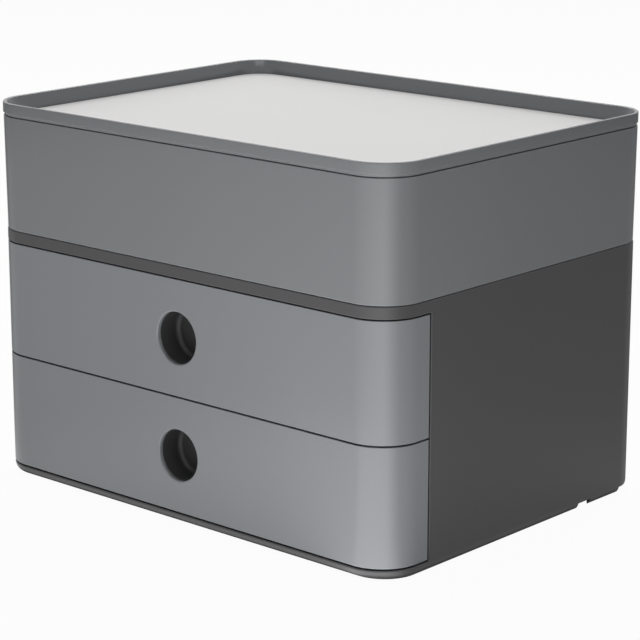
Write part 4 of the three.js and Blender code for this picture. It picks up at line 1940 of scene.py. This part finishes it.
@dataclass(frozen=True)
class PhotoCamera:
    """The photograph's camera, found by fitting the unit's straight and curved edges."""

    place: Triple = (0.77434, -0.86085, 0.38137)
    yaw: float = math.radians(41.8595)
    pitch: float = math.radians(14.4777)
    focal_pixels: float = 2413.55
    frame_pixels: float = 640
    sensor: float = 36

    def set_up(self) -> None:
        """Makes the camera and hands it to the scene."""
        data = bpy.data.cameras.new("photo_camera")
        data.sensor_width = self.sensor
        data.lens = self.focal_pixels / self.frame_pixels * self.sensor
        camera = bpy.data.objects.new("photo_camera", data)
        turn = Matrix.Rotation(self.yaw, 4, "Z") @ Matrix.Rotation(math.pi / 2 - self.pitch, 4, "X")
        camera.matrix_world = Matrix.Translation(self.place) @ turn
        bpy.context.scene.collection.objects.link(camera)
        bpy.context.scene.camera = camera


@dataclass
class Studio:
    """The pale floor with its painted pool of light, the white surroundings and the soft lamps."""

    floor_size: float = 12
    painted_glow_size: float = 2.8
    floor_colour: Colour = (0.9, 0.9, 0.9)
    bounce_colour: Colour = (0.45, 0.45, 0.45)
    backdrop_share: float = 0.96
    backdrop_colour: Colour = (1.0, 1.0, 1.0)
    mirrored_colour: Colour = (0.8, 0.8, 0.8)
    sky: float = 0.03
    glow: FloorGlow = FloorGlow()
    lamps: tuple[SoftBox, ...] = (
        SoftBox("overhead_lamp", place=(-0.6, 0.6, 1.3), aim=(0, 0, 0.1), size=(1.4, 1.4), power=16.8),
        SoftBox("front_lamp", place=(0.7, -0.8, 1.3), aim=(0, 0, 0.1), size=(1.0, 1.0), power=5.8),
    )

    def build(self) -> None:
        """Builds the floor, the surroundings and the lamps."""
        self.build_floor()
        self.build_surroundings()
        for lamp in self.lamps:
            lamp.hang()

    def build_floor(self) -> None:
        """A pale floor whose middle glows towards the unit with a painted pool of light."""
        lay_down()
        bpy.ops.mesh.primitive_plane_add(size=self.floor_size, location=(0, 0, 0))
        floor = bpy.context.active_object
        floor.name = "floor"
        floor.data.materials.append(self.floor_material("floor_white", None))
        floor.data.materials.append(self.floor_material("floor_painted_glow", self.glow))
        bpy.ops.object.mode_set(mode="EDIT")
        bpy.ops.mesh.select_all(action="SELECT")
        bpy.ops.mesh.inset(thickness=(self.floor_size - self.painted_glow_size) / 2)
        floor.active_material_index = 1
        bpy.ops.object.material_slot_assign()
        bpy.ops.object.mode_set(mode="OBJECT")

    def floor_material(self, name: str, glow: FloorGlow | None) -> bpy.types.Material:
        """A floor that shows white to the camera, keeps the soft shadow and bounces less light than it shows.

        Args:
            name: The material's name.
            glow: The painted glow that it gives off towards the unit, or nothing.

        Returns:
            The material.
        """
        bench = ShaderBench.of_material(name)
        seen = bench.ray("Is Camera Ray")
        colour = bench.mixed(seen, self.bounce_colour, self.floor_colour)
        matt = bench.node("ShaderNodeBsdfDiffuse", {}, {"Color": colour}).outputs[0]
        if glow:
            # The painted pool of light: the floor glows for every ray but the camera's, though no lamp lights
            # it.
            strength = glow.strength(bench) * (1 - seen)
            shine = bench.node("ShaderNodeEmission", {}, {"Strength": strength}).outputs[0]
            matt = bench.node("ShaderNodeAddShader", {}, {0: matt, 1: shine}).outputs[0]
        white = bench.node("ShaderNodeEmission", {}, {"Strength": 1.0}).outputs[0]
        mix = bench.node("ShaderNodeMixShader", {}, {0: seen * self.backdrop_share, 1: matt, 2: white})
        return bench.surface(mix.outputs[0])

    def build_surroundings(self) -> None:
        """White surroundings for the camera, pale ones in reflections, and a weaker sky as light."""
        world = bpy.data.worlds.new("surroundings")
        bpy.context.scene.world = world
        bench = ShaderBench(world)
        seen = bench.ray("Is Camera Ray", "Is Glossy Ray", "Is Transmission Ray")
        sky = bench.node("ShaderNodeBackground", {}, {"Strength": self.sky}).outputs[0]
        shown = bench.mixed(bench.ray("Is Camera Ray"), self.mirrored_colour, self.backdrop_colour)
        pale = bench.node("ShaderNodeBackground", {}, {"Color": shown, "Strength": 1.0}).outputs[0]
        bench.surface(bench.node("ShaderNodeMixShader", {}, {0: seen, 1: sky, 2: pale}).outputs[0])


def main() -> None:
    """Builds the unit, the studio and the camera."""
    logging.basicConfig(level=logging.INFO, format="%(name)s: %(message)s")
    bpy.context.scene.view_settings.view_transform = "Standard"
    PhotoCamera().set_up()
    outline = CornerRound()
    for assembly in (Casing(outline), Drawer(outline), UtensilBox(outline), Lid(outline)):
        assembly.build()
    Studio().build()


if __name__ == "__main__":
    main()
